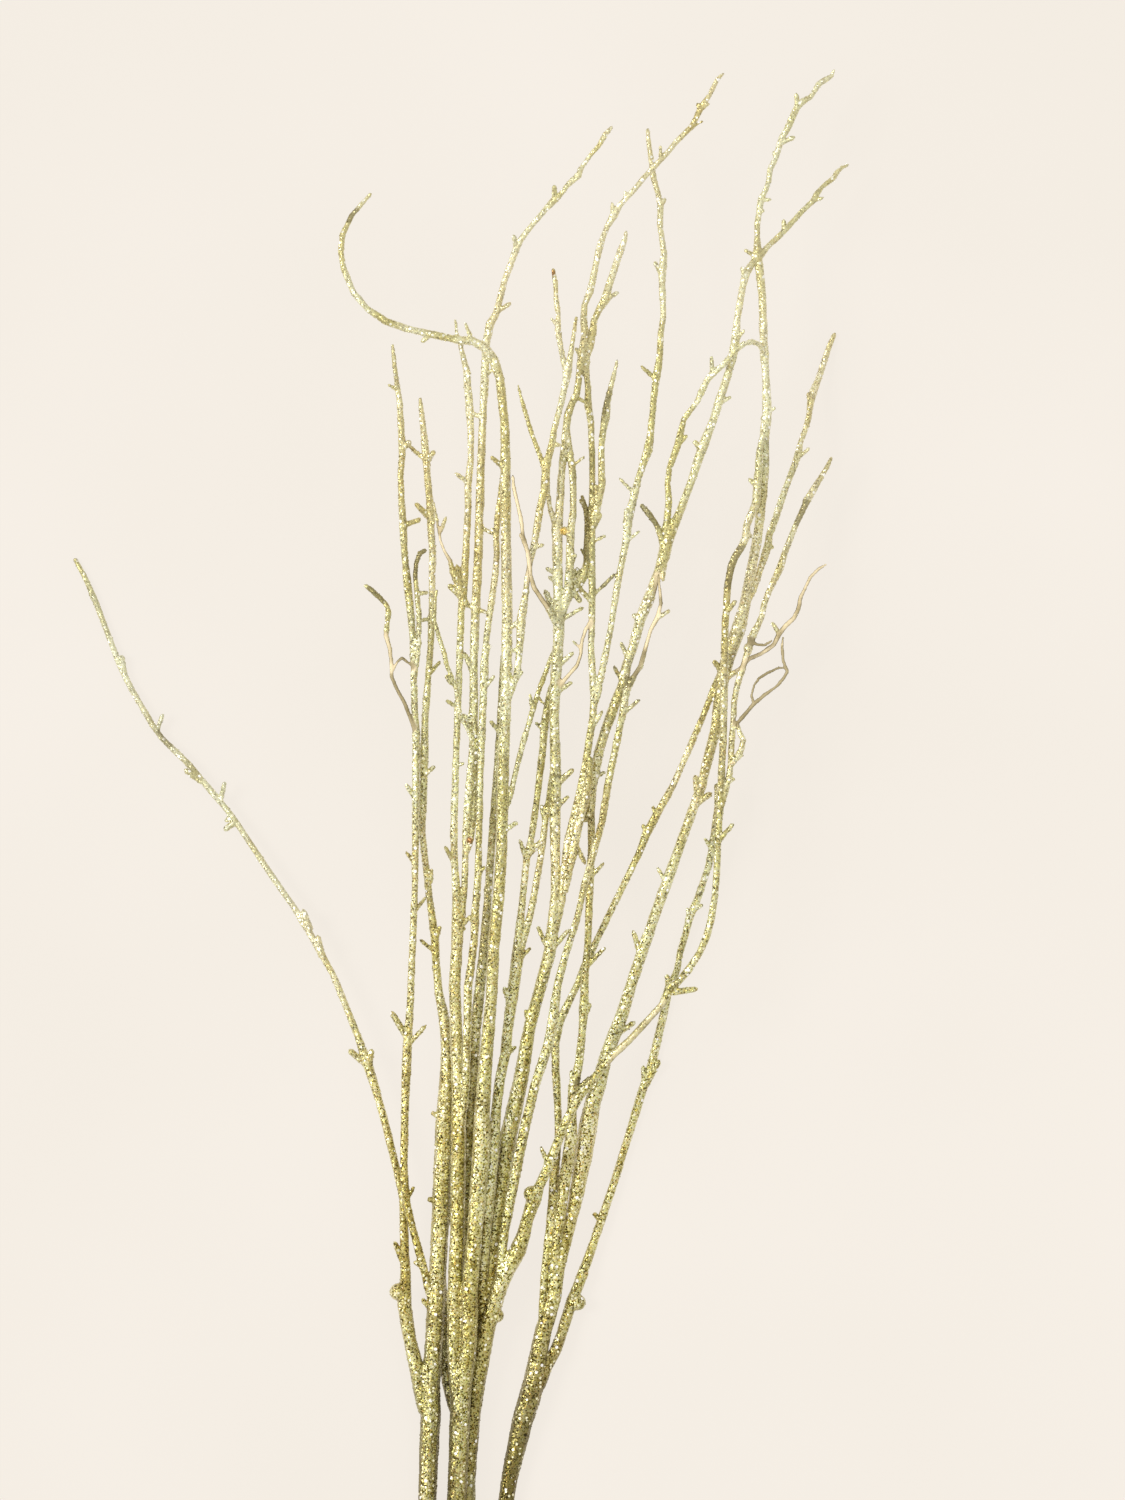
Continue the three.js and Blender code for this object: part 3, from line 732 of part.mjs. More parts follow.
    knots: [
      [53, -244, 13.8, 3.0], [54.6, -231, 16, 2.4], [55.4, -217, 18.5, 2.3],
      [57.2, -200, 21.5, 2.9], [60.2, -180, 24.5, 3.2], [62.7, -160, 27, 3.5],
      [65.6, -142, 29.5, 3.5], [65.8, -126, 31, 2.5], [67, -111, 32.5, 3.0], [70.3, -96, 33.5, 2.2],
      [72, -80, 34.5, 2.1], [73.2, -62, 35.5, 2.7], [74, -42, 36.5, 2.1], [75.5, -25, 37.5, 1.8],
      [76, -8, 38, 2.1], [77, 15, 39, 2.0], [77.8, 35, 40.5, 1.9], [77.4, 52, 42, 2.1],
      [77.6, 68, 43, 2.8], [80, 80, 43.5, 2.9], [82.3, 91, 44, 2.8], [85.3, 101, 44.5, 2.6],
      [88.5, 111, 45, 2.8], [92.5, 121, 45.5, 2.9], [96.6, 130, 46, 3.2], [98.6, 142, 46.5, 2.6],
      [102, 151, 47, 2.6], [104.8, 161, 47.5, 2.8], [107.4, 171, 48, 3.0],
      [111.5, 180.4, 48.5, 3.3], [114.6, 189.5, 49, 2.8], [117.6, 198, 49.3, 2.4],
      [120.9, 207, 49.5, 3.5], [122.8, 216, 50, 3.3], [127, 225.5, 50.5, 2.4], [131, 235, 51, 2.2],
      [134.4, 244.5, 51.5, 2.2], [138, 254, 52, 2.1], [141.5, 264.2, 52.5, 2.3],
      [144.3, 273, 53, 2.7], [147.4, 281, 53.5, 2.0], [151.3, 291, 54, 2.0],
      [154.3, 301, 54.5, 2.4], [157, 310, 55, 2.1], [160.2, 319, 55.5, 2.1],
      [162.4, 327.5, 55.5, 2.5], [164, 337, 55.5, 2.5], [164.8, 348.5, 55.5, 1.8],
      [166.2, 359, 55, 1.8], [168.3, 369, 54.5, 1.8], [170, 376.5, 53.5, 2.2],
      [173, 381.5, 52, 1.8], [176, 386, 50, 1.8],
    ],
    spurs: [
      [66.8, -114, 65.5, -100, 1.5, 3], [69.3, -113, 77, -104.5, 1.5, 3],
      [72.8, -70, 77.5, -60.5, 1.3, 2], [75, -38, 87, -26, 1.6, 3], [77, 15, 86, 24.5, 1.3, 3],
      [77.5, 60, 73, 47, 1.8, 1], [80, 75, 86.5, 78.5, 1.4, 2], [97, 131, 90.5, 142.5, 1.5, 2],
      [100, 145, 95, 156.5, 1.5, 3], [106, 169, 102.6, 173, 2.0, 2],
      [143.7, 271, 138.8, 277, 1.8, 2], [154.3, 299.5, 162, 303.2, 1.4, 2],
      [164, 336, 169.5, 343.5, 1.1, 2], [170, 374, 167.8, 381.5, 1.6, 2],
      [121.5, 203, 120.2, 192, 1.6, 2],
    ],
  },
  { // left fork of the crowded joint, ending in the thin arc over to its neighbour
    knots: [
      [121.6, 217, 50, 2.6], [122.7, 228, 51, 2.0], [124.1, 241, 51.5, 2.1], [123.2, 251, 52, 1.7],
      [124.3, 260, 52.5, 1.6], [127, 267.5, 53, 1.7], [129.3, 274, 53.5, 2.1],
      [131, 282, 54.5, 1.9], [133, 289.5, 55.5, 1.7], [137, 295, 56.5, 1.6], [141, 300, 57.5, 1.4],
      [143.6, 306, 58.5, 2], [147.1, 313.3, 59.5, 1.8], [151, 317.8, 60.5, 2.1],
      [156, 321.5, 61.5, 1.6], [160, 326, 62, 1.7], [164, 331, 62, 1.6], [169, 334.7, 61.5, 1.5],
      [174, 336, 60, 1.8], [178.3, 334.2, 56.5, 1.4], [181, 329.5, 51, 1.2],
    ],
    spurs: [
      [129.3, 274, 135.5, 280.5, 1.4, 2], [150, 317, 149.4, 327.5, 1.5, 3],
      [121.8, 219, 120.5, 225, 1.8, 1],
    ],
  },
  { // dark bare twig that leans left from the crowded joint
    knots: [
      [121, 212, 50, 2.0], [119.3, 219, 51.5, 1.7], [116.6, 226.5, 53, 1.5], [112, 233, 54.5, 1.7],
      [107.6, 238, 55.5, 1.2],
    ],
  },
  { // slim outer fork, low on the right, which lies on the ground
    knots: [
      [45.5, -291, 9, 4.2], [50.7, -279, 8.8, 3.6], [56, -270, 8.5, 3.3], [59.7, -260, 8, 2.9],
      [62.8, -250, 7.5, 3.4], [66, -240, 7, 3.2], [70.2, -230.1, 6.4, 3.1], [77.3, -210, 5.6, 2.5],
      [83.7, -191.2, 4.9, 2.5], [91, -170, 4.2, 2.1], [97.4, -150, 3.6, 2.4],
      [103.5, -130, 3.0, 2.3], [108.9, -112.2, 2.4, 2.3], [113.5, -100, 2.5, 2.5],
      [118, -80, 2.2, 2.1], [122.4, -62, 2.4, 2.2], [125, -51, 2.7, 1.8], [129.3, -41, 3.4, 1.8],
      [131.2, -30, 4.2, 1.7], [134.2, -20.2, 5, 1.8], [137.2, -8, 6.2, 2.3], [141.6, 2, 7.6, 1.8],
      [144.8, 12, 9.2, 1.7], [148, 21, 11, 1.8], [150.2, 30, 13, 2.1], [151.6, 41, 15, 1.8],
      [153.2, 56, 17, 1.5], [153, 70, 19, 1.1],
    ],
    knobs: [[69.4, -241, 4.8]],
    spurs: [
      [70.5, -231, 76, -222.5, 1.5, 2], [81.5, -190, 79, -187, 1.5, 1],
      [109.5, -111, 108.8, -98, 1.8, 2], [110.5, -110, 119, -94.5, 2.2, 3],
      [136.5, -9, 135, -3.5, 1.2, 1], [138, -6, 145, -1.3, 1.4, 2],
      [149.5, 25, 147.2, 26.5, 1.7, 1], [150.5, 31, 145.6, 38.5, 1.3, 2],
    ],
  },
  { // light outer twig of the upper right, which droops to the ground
    knots: [
      [170.6, 181, 44.2, 2.5], [174.2, 187, 43, 2.4], [177, 193.5, 41.5, 1.9],
      [179.2, 200.5, 40, 1.8], [181.3, 207, 38.5, 2.1], [183.4, 213.5, 37, 2.5],
      [184.5, 221, 35, 2.0], [187.7, 228.8, 33, 2], [190.1, 236.5, 31, 2.2], [192.1, 243, 29, 2.0],
      [194.6, 249.5, 27, 1.8], [197.6, 257, 25, 1.8], [200.3, 264, 23, 1.9],
      [202.2, 270.5, 21, 2.1], [203.6, 277, 19, 1.5], [206.4, 284.4, 17, 1.5],
      [208.4, 292, 15, 1.7], [209.4, 300, 13, 2.1], [211, 306.5, 11, 2.3], [214, 314, 9, 1.9],
      [216.4, 322, 6.8, 1.9], [219, 329, 4.8, 1.8], [221.2, 335.5, 3, 1.6], [224, 341.5, 1.4, 1.1],
    ],
    spurs: [
      [202, 267, 209.3, 273.3, 1.1, 1], [209.5, 300, 208, 306.7, 1.6, 1],
      [183.6, 214, 187.5, 213, 1.4, 1],
    ],
  },
  { // bare curly twig far out on the right
    knots: [
      [155.6, 130, 40.5, 2.2], [159.5, 135.5, 43, 1.7], [163, 137.5, 44.5, 1.5],
      [167, 140.3, 45.5, 1.4], [172, 146, 44, 1.4], [180, 149.4, 42.5, 1.4],
      [187, 154.4, 41.5, 1.6], [190.2, 160.5, 41, 1.6], [194.2, 166, 40, 1.5],
      [199.2, 170.5, 38.5, 1.5], [202, 176.5, 37, 1.3], [203.2, 183, 35.5, 1.2],
      [205.8, 188.4, 34, 1.1], [209.2, 195.3, 32, 1.1], [214, 200, 30, 1.1],
      [218.8, 203, 28.5, 0.8],
    ],
    spurs: [[190, 161.5, 185.7, 168.5, 1.4, 2], [199.5, 170.5, 199.8, 174, 1.1, 1]],
  },
];

// ---- The spray ----------------------------------------------------------------------------

function glitteredWillow(colour) {
  return new THREE.MeshStandardMaterial({ color: colour, roughness: 0.45, metalness: 0.7 });
}

const spray = new THREE.Group();
spray.add(branchMesh('left_branch', LEFT_SHOOTS, glitteredWillow(0xbfae5e)));
spray.add(branchMesh('middle_front_branch', FRONT_SHOOTS, glitteredWillow(0xcbbb6c)));
spray.add(branchMesh('middle_rear_branch', REAR_SHOOTS, glitteredWillow(0xa4964a)));
spray.add(branchMesh('right_branch', RIGHT_SHOOTS, glitteredWillow(0xb9a95c)));

// The origin is where the spray's bounding box is centred on the ground.
const box = new THREE.Box3().setFromObject(spray);
const centre = box.getCenter(new THREE.Vector3());
spray.position.set(-centre.x, -centre.y, -box.min.z);

export default spray;
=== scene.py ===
# A spray of curly willow coated in gold glitter, lying flat, seen from straight above.
# Each branch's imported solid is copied, remeshed finely, rounded, thinned out and roughened into
# bark, and flat glitter flakes are laid on it. Everything random comes from a seed.

import math

import bmesh
import bpy
import numpy as np
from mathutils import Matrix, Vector


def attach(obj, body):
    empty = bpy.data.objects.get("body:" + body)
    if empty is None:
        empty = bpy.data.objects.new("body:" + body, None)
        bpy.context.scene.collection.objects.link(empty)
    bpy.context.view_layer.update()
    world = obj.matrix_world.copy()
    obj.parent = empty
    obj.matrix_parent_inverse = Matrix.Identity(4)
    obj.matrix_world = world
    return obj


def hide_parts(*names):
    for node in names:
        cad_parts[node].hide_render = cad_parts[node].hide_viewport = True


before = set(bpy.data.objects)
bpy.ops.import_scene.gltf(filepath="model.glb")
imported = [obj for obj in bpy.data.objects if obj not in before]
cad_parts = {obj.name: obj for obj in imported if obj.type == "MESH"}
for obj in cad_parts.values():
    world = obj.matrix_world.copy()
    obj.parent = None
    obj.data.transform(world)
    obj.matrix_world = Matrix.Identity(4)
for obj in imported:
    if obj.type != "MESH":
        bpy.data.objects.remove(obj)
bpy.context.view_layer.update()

MM = 0.001

# ---- Camera and framing -------------------------------------------------------------------
VIEW_CENTRE = (60.9 * MM, 91.6 * MM)   # the point of the floor plan that the view is centred on
VIEW_LENGTH = 0.9                      # length of the branches that the picture's height takes in
VIEW_PLANE = 40 * MM                   # height at which it takes in exactly that
CAMERA_RISE = 12.0                     # camera above that height: a long lens, nearly parallel
SENSOR = 36.0                          # width of the camera's sensor in millimetres

# ---- Light and floor ----------------------------------------------------------------------
# Name, azimuth, elevation and spread in degrees, strength and colour of each sun.
SUNS = [
    ("key", 168, 48, 24, 1.75, (1.0, 0.99, 0.97)),
    ("top", 90, 88, 80, 0.35, (1.0, 1.0, 0.99)),
]
SKY_COLOUR = (1.0, 0.99, 0.97, 1)
SKY_STRENGTH = 0.8
FLOOR_SIZE = 12
FLOOR_DROP = 0.2 * MM                  # the floor's top is this far under Z 0
FLOOR_SHARE = 0.07                     # share of its colour that the floor scatters
FLOOR_GLOW = 0.90                      # and the strength with which it glows
FLOOR_ROUGHNESS = 0.9
FLOOR_SHINE = 0.1
FLOOR_WAVES = (3, 2)                   # waves to the metre of its shades, and their detail
FLOOR_SHADES = [(0.3, (244, 237, 227)), (0.7, (247, 240, 231))]

# ---- Bark and grains ----------------------------------------------------------------------
WELD = 1e-6                 # points of a solid's mesh that are this close are one
VOXEL = 0.8 * MM            # mesh size of the remeshed bark
SMOOTH_ROUNDS = 6
SHRINK = 0.5                # share of the way that smoothing moves a point to its neighbours
SWELL = -0.52               # and moves it back
COAT = 0.40 * MM            # what the faceted solids lack on the round twigs they stand for
LUMP_SIZE = 7 * MM          # bark swells and shrinks over this distance
LUMP_HEIGHT = 0.22 * MM
FACET_JITTER = 0.12 * MM    # glitter facets: each point of the mesh moves up to this far
GRAINS = 7000               # on each branch
GRAIN_RADIUS = 0.55 * MM
GRAIN_SIZES = (0.55, 1.1)   # the smallest and largest grain, against that radius
GRAIN_TILT = 0.35           # how much a grain leans, against a bark normal of length 1
GRAIN_LIFT = 0.3            # how far its flat face stands off the bark, in its own radii
GRAIN_ROOT = 0.3            # and how far its foot lies under the bark
BARK_TRIANGLES = 168_000    # at most, of one branch, without its grains
MOST_TRIANGLES = 200_000    # with them

# ---- Bare twigs, crowded places, tips and cut ends ----------------------------------------
BARE_JITTER = 0.25          # a bare twig keeps this share of the jitter
BARE_COAT = 0.2             # and this share of the coat
BARE_LACK = 0.85            # it lacks this share of the grains
BARE_GRAIN = 0.3            # a grain on it is as bare as this, against its bark
TWIG_REACH = 3.2            # how far (mm) a twig listed below reaches from the line along it
CORE = 0.6                  # share of a twig's or bud's reach within which it is wholly itself
CROWD_CELL = 1 * MM         # the plan is looked at in cells of this size
CROWD_REACH = 5             # over this many of them each way
CROWDED = (0.35, 0.75)      # shares of the plan that are covered where it is open and crowded
LEAST_COVER = 0.01          # a cell counts as covered at least this much
SUNK_DEPTH = (-2.0, 14.0)   # bark this far (mm) below the tops around it is lit fully and least
TIP_ROUNDS = 60             # rounds of the smoothing that finds the tips
TIP_PULL = (2.4 * MM, 3.4 * MM)   # a tip is pulled in by more than this
CUT_DEPTH = 0.6 * MM        # a branch's cut face is within this of its lowest Y
CUT_FACING = -0.5           # and its normal's Y is below this
CUT_RADIUS = 7              # the rings reach this far (mm) from the pith
CUT_FADE = 0.9              # and fall by this much on the way

# Fine twigs with little glitter on them, as (x, y) points along each in millimetres of the plan.
BARE_TWIGS = [
    [(-29, 105), (-35, 120), (-42, 135), (-43, 148), (-46, 160)],
    [(-42, 138), (-36, 147), (-29, 141)],
    [(-8, 206), (-13, 217), (-13.8, 226)],
    [(51, 178), (43, 189), (40, 204), (36, 228), (31, 255)],
    [(104, 138), (113, 163), (119, 179), (118, 196)],
    [(60, 132), (69, 142), (72, 157), (77, 168)],
    [(166, 141), (187, 154), (199, 171), (205, 189), (219, 203)],
    [(165, 108), (181, 124), (194, 135), (192, 152), (192, 159)],
    [(175, 119), (174, 128), (183, 137), (194, 140)],
    [(173, 157), (181, 154), (186, 157)],
]
# Twigs on which the glitter is thin, and how bare they are.
THIN_BARENESS = 0.55
THIN_TWIGS = [
    [(91, -95), (104, -79), (121, -60)],
]
# Twigs, tips and stretches that are dull and dark, bare or not.
DULL_TWIGS = [
    [(117, 226), (112, 233), (107, 239)],
    [(-67, 409.5), (-63, 414)],
    [(74.6, 206), (74.9, 230), (72, 243)],
    [(-22, 211), (-27, 203), (-28, 196)],
    [(88, 306), (84, 290)],
    [(207, 240), (203, 228)],
    [(168, 213), (162, 203), (160, 190)],
    [(70, -108), (77, -105)],
    [(85, 190), (92, 197)],
    [(-29, 105), (-35, 120), (-42, 135)],
    [(-54, 188), (-47, 182)],
    [(-181, 102), (-176, 95)],
    [(-38, 147), (-30, 142)],
    [(101, 132), (108, 150)],
    [(118, 180), (124, 182)],
    [(67, 166), (73, 170)],
    [(165, 108), (181, 124), (194, 135), (192, 152)],
    [(175, 119), (174, 128), (183, 137), (194, 140)],
    [(173, 157), (181, 154), (186, 157)],
]
# Buds of another colour: x, y and radius in millimetres.
RED_BUDS = [(5.2, 37.5, 2.6), (54.8, 377, 2.4)]
AMBER_BUDS = [(61.6, 222.6, 2.8)]


# ---- Mesh tools ---------------------------------------------------------------------------

def welded_copy(node):
    """A copy of a CAD node whose faces share their points."""
    mesh = node.data.copy()
    welded = bmesh.new()
    welded.from_mesh(mesh)
    bmesh.ops.remove_doubles(welded, verts=welded.verts, dist=WELD)
    welded.to_mesh(mesh)
    welded.free()
    mesh.materials.clear()
    return mesh


def mesh_of(name, points, triangles):
    """A Blender mesh of those points and triangles."""
    mesh = bpy.data.meshes.new(name)
    mesh.vertices.add(len(points))
    mesh.vertices.foreach_set("co", points.ravel())
    mesh.loops.add(triangles.size)
    mesh.loops.foreach_set("vertex_index", triangles.ravel())
    mesh.polygons.add(len(triangles))
    mesh.polygons.foreach_set("loop_start", np.arange(0, triangles.size, 3))
    mesh.update()
    mesh.validate()
    return mesh


def with_modifier(mesh, kind, **settings):
    """Points, triangles and edges of a mesh after one modifier."""
    thing = bpy.data.objects.new("modified", mesh)
    bpy.context.scene.collection.objects.link(thing)
    modifier = thing.modifiers.new(kind, kind)
    for key, value in settings.items():
        setattr(modifier, key, value)
    result = thing.evaluated_get(bpy.context.evaluated_depsgraph_get()).to_mesh()
    result.calc_loop_triangles()
    points = np.empty(len(result.vertices) * 3)
    result.vertices.foreach_get("co", points)
    triangles = np.empty(len(result.loop_triangles) * 3, dtype=np.int32)
    result.loop_triangles.foreach_get("vertices", triangles)
    edges = np.empty(len(result.edges) * 2, dtype=np.int32)
    result.edges.foreach_get("vertices", edges)
    bpy.data.objects.remove(thing)
    return points.reshape(-1, 3), triangles.reshape(-1, 3), edges.reshape(-1, 2)


def largest_body(points, triangles, edges):
    """The same without the crumbs that a remesh leaves loose beside it."""
    label = np.arange(len(points))
    while True:
        lower = label.copy()
        np.minimum.at(lower, edges[:, 0], label[edges[:, 1]])
        np.minimum.at(lower, edges[:, 1], label[edges[:, 0]])
        lower = lower[lower]
        if np.array_equal(lower, label):
            break
        label = lower
    keep = label == np.bincount(label).argmax()
    place = np.cumsum(keep) - 1
    return points[keep], place[triangles[keep[triangles[:, 0]]]], place[edges[keep[edges[:, 0]]]]


def remeshed(node):
    """Points, triangles and edges of a fine rounded mesh around a CAD node."""
    fine = with_modifier(welded_copy(node), "REMESH", mode="VOXEL", voxel_size=VOXEL)
    points, triangles, edges = largest_body(*fine)
    points = smoothed(points, edges, SMOOTH_ROUNDS)
    share = min(1.0, BARK_TRIANGLES / len(triangles))
    return with_modifier(mesh_of("fine", points, triangles), "DECIMATE", ratio=share)


def neighbour_mean(points, edges):
    """Each point's neighbours' mean."""
    count = np.bincount(edges.ravel(), minlength=len(points))
    mean = np.empty_like(points)
    for axis in range(3):
        total = np.bincount(edges[:, 0], points[edges[:, 1], axis], len(points))
        total += np.bincount(edges[:, 1], points[edges[:, 0], axis], len(points))
        mean[:, axis] = total / count
    return mean


def smoothed(points, edges, rounds):
    """Taubin's smoothing: each round shrinks a little and swells back."""
    for _ in range(rounds):
        for step in (SHRINK, SWELL):
            points = points + step * (neighbour_mean(points, edges) - points)
    return points


def facing_of(points, triangles):
    """Each triangle's normal, as long as twice its area."""
    a, b, c = (points[triangles[:, corner]] for corner in range(3))
    return np.cross(b - a, c - a)


def normals_of(points, triangles):
    """Unit normals at the points."""
    facing = facing_of(points, triangles)
    normals = np.zeros_like(points)
    for axis in range(3):
        for corner in range(3):
            normals[:, axis] += np.bincount(triangles[:, corner], facing[:, axis], len(points))
    return normals / np.linalg.norm(normals, axis=1, keepdims=True)


# Large odd numbers that scramble a cell's place and the seed, and the range of the result.
SCRAMBLE_AXES = (73856093, 19349663, 83492791)
SCRAMBLE_SEED = 2654435761
SCRAMBLE_AGAIN = 1274126177
SCRAMBLE_MASK = 0x7FFFFFFF
SCRAMBLE_STEPS = 65536


def cell_value(cells, seed):
    """A value from -1 to 1 for each cell, always the same for that cell and seed."""
    mixed = seed * SCRAMBLE_SEED
    for axis, factor in enumerate(SCRAMBLE_AXES):
        mixed = mixed ^ cells[:, axis] * factor
    mixed = (mixed ^ mixed >> 13) * SCRAMBLE_AGAIN & SCRAMBLE_MASK
    drawn = (mixed ^ mixed >> 15) % SCRAMBLE_STEPS
    return drawn / (0.5 * (SCRAMBLE_STEPS - 1)) - 1


def value_noise(points, size, seed):
    """Smooth noise from -1 to 1 that varies over about that size."""
    cell = np.floor(points / size).astype(np.int64)
    part = points / size - cell
    part = part * part * (3 - 2 * part)
    total = np.zeros(len(points))
    for z, y, x in np.ndindex(2, 2, 2):
        step = (x, y, z)
        weight = np.prod(np.where(step, part, 1 - part), axis=1)
        total += weight * cell_value(cell + step, seed)
    return total


def grains(points, triangles, normals, without, count, rng):
    """Flat three-cornered glitter flakes, a little tilted, each with its foot in the bark.

    without is 1 where the bark has none. Gives their points, their faces, and for each point
    the bark point it lies on.
    """
    area = np.linalg.norm(facing_of(points, triangles), axis=1)
    area *= 1 - without[triangles[:, 0]]
    chosen = triangles[rng.choice(len(triangles), count, p=area / area.sum())]
    weight = rng.dirichlet((1, 1, 1), count)
    centre = np.einsum("ij,ijk->ik", weight, points[chosen])
    up = normals[chosen[:, 0]] + rng.normal(0, GRAIN_TILT, (count, 3))
    up /= np.linalg.norm(up, axis=1, keepdims=True)
    first = np.cross(up, rng.normal(0, 1, (count, 3)))
    first /= np.linalg.norm(first, axis=1, keepdims=True)
    second = np.cross(up, first)
    radius = GRAIN_RADIUS * rng.uniform(*GRAIN_SIZES, (count, 1))
    lift = centre + up * radius * GRAIN_LIFT
    rim = [lift + radius * (math.cos(turn) * first + math.sin(turn) * second)
           for turn in (0, math.tau / 3, 2 * math.tau / 3)]
    spots = np.stack([*rim, centre - up * radius * GRAIN_ROOT], axis=1)
    faces = np.array([(0, 1, 2), (1, 0, 3), (2, 1, 3), (0, 2, 3)])
    index = faces[None] + 4 * np.arange(count)[:, None, None]
    return spots.reshape(-1, 3), index.reshape(-1, 3), np.repeat(chosen[:, 0], 4)


def distance_to_line(points, line):
    """How far each point's plan place is from a line of (x, y) points, in metres."""
    place = points[:, :2]
    nearest = np.full(len(points), np.inf)
    for start, end in zip(line[:-1], line[1:]):
        start = np.array(start) * MM
        along = np.array(end) * MM - start
        part = np.clip((place - start) @ along / (along @ along), 0, 1)
        away = place - start - part[:, None] * along
        nearest = np.minimum(nearest, np.linalg.norm(away, axis=1))
    return nearest


def smooth_step(value, low, high):
    """0 up to low, 1 from high on, and a smooth rise between them."""
    part = np.clip((value - low) / (high - low), 0, 1)
    return part * part * (3 - 2 * part)


def tipness(points, edges):
    """1 at the ends of spurs and twigs, which a long plain smoothing pulls in the furthest."""
    shrunk = points
    for _ in range(TIP_ROUNDS):
        shrunk = shrunk + SHRINK * (neighbour_mean(shrunk, edges) - shrunk)
    pulled = np.linalg.norm(shrunk - points, axis=1)
    return smooth_step(pulled, *TIP_PULL)


def nearness(points, lines):
    """1 on the twigs along those lines, falling to 0 a little way off them."""
    near = np.zeros(len(points))
    for line in lines:
        away = distance_to_line(points, line) / MM
        near = np.maximum(near, 1 - smooth_step(away, TWIG_REACH * CORE, TWIG_REACH))
    return near


def budness(points, buds):
    """1 in those buds."""
    bud = np.zeros(len(points))
    for x, y, radius in buds:
        away = np.hypot(points[:, 0] / MM - x, points[:, 1] / MM - y)
        bud = np.maximum(bud, 1 - smooth_step(away, radius * CORE, radius))
    return bud


def cut_rings(points, normals):
    """0 off the cut face at a branch's lower end, 1 at its pith, less on the rings around it."""
    depth = points[:, 1] - points[:, 1].min()
    face = (depth < CUT_DEPTH) & (normals[:, 1] < CUT_FACING)
    middle = points[face].mean(axis=0)
    away = np.hypot(points[:, 0] - middle[0], points[:, 2] - middle[2])
    return face * (1 - CUT_FADE * smooth_step(away / MM, 0, CUT_RADIUS))


def blurred(grid, reach):
    """Each cell's mean over the square that reaches that many cells around it, taken twice."""
    width = 2 * reach + 1
    for axis in (0, 1, 0, 1):
        around = [(reach, reach) if side == axis else (0, 0) for side in (0, 1)]
        total = np.cumsum(np.pad(grid, around), axis=axis)
        total = np.insert(total, 0, 0, axis=axis)
        high = np.take(total, range(width, total.shape[axis]), axis=axis)
        low = np.take(total, range(total.shape[axis] - width), axis=axis)
        grid = (high - low) / width
    return grid


class Surroundings:
    """How crowded the spray is around each cell of its plan, and how high it stands there."""

    def __init__(self, clouds):
        points = np.concatenate(clouds)
        self.corner = points[:, :2].min(axis=0)
        cells = self.cells_of(points)
        top = np.zeros(cells.max(axis=0) + 1)
        np.maximum.at(top, tuple(cells.T), points[:, 2])
        self.cover = blurred((top > 0).astype(float), CROWD_REACH)
        self.height = blurred(top, CROWD_REACH) / np.maximum(self.cover, LEAST_COVER)

    def cells_of(self, points):
        """Each point's cell of the plan."""
        return np.floor((points[:, :2] - self.corner) / CROWD_CELL).astype(np.int64)

    def sunk(self, points):
        """1 between and under close neighbours, 0 on top of them or alone."""
        at = tuple(self.cells_of(points).T)
        below = smooth_step((self.height[at] - points[:, 2]) / MM, *SUNK_DEPTH)
        return below * smooth_step(self.cover[at], *CROWDED)


def bark_facts(points, triangles, edges, normals, surroundings):
    """What the material has to know about each point of the bark, by name."""
    thin = THIN_BARENESS * nearness(points, THIN_TWIGS)
    return {
        "bare": np.maximum(nearness(points, BARE_TWIGS), thin),
        "cut": cut_rings(points, normals),
        "tip": tipness(points, edges),
        "sunk": surroundings.sunk(points),
        "up": normals[:, 2],
        "left": -normals[:, 0],
    }


def roughened(points, normals, bare, seed, rng):
    """The bark's points with its coat, its lumps and the jitter of its glitter."""
    lump = value_noise(points, LUMP_SIZE, seed) * LUMP_HEIGHT
    jitter = rng.uniform(-1, 1, points.shape) * FACET_JITTER
    jitter *= 1 - (1 - BARE_JITTER) * bare[:, None]
    coat = COAT * (1 - (1 - BARE_COAT) * bare)
    return points + normals * (coat + lump)[:, None] + jitter


def branch_piece(remesh, surroundings, piece_name, seed):
    """The visible branch made from that fine mesh, with each point's facts as attributes."""
    rng = np.random.default_rng(seed)
    points, triangles, edges = remesh
    normals = normals_of(points, triangles)
    facts = bark_facts(points, triangles, edges, normals, surroundings)
    points = roughened(points, normals, facts["bare"], seed, rng)
    without = np.maximum(BARE_LACK * facts["bare"], facts["cut"] > 0)
    grain_points, grain_faces, lies_on = grains(points, triangles, normals, without, GRAINS, rng)
    everything = np.concatenate([points, grain_points])
    mesh = mesh_of(piece_name, everything, np.concatenate([triangles, grain_faces + len(points)]))
    assert len(mesh.polygons) < MOST_TRIANGLES
    facts = {fact: np.concatenate([values, values[lies_on]]) for fact, values in facts.items()}
    facts["bare"][len(points):] *= BARE_GRAIN
    facts["dull"] = nearness(everything, DULL_TWIGS)
    facts["red_bud"] = budness(everything, RED_BUDS)
    facts["amber_bud"] = budness(everything, AMBER_BUDS)
    for fact, values in facts.items():
        mesh.attributes.new(fact, "FLOAT", "POINT").data.foreach_set("value", values)
    piece = bpy.data.objects.new(piece_name, mesh)
    bpy.context.scene.collection.objects.link(piece)
    return piece


# ---- Building materials -------------------------------------------------------------------

def srgb(red, green, blue):
    """Linear values of a colour given as 0 to 255."""
    def linear(value):
        value /= 255
        return value / 12.92 if value <= 0.04045 else ((value + 0.055) / 1.055) ** 2.4
    return linear(red), linear(green), linear(blue)


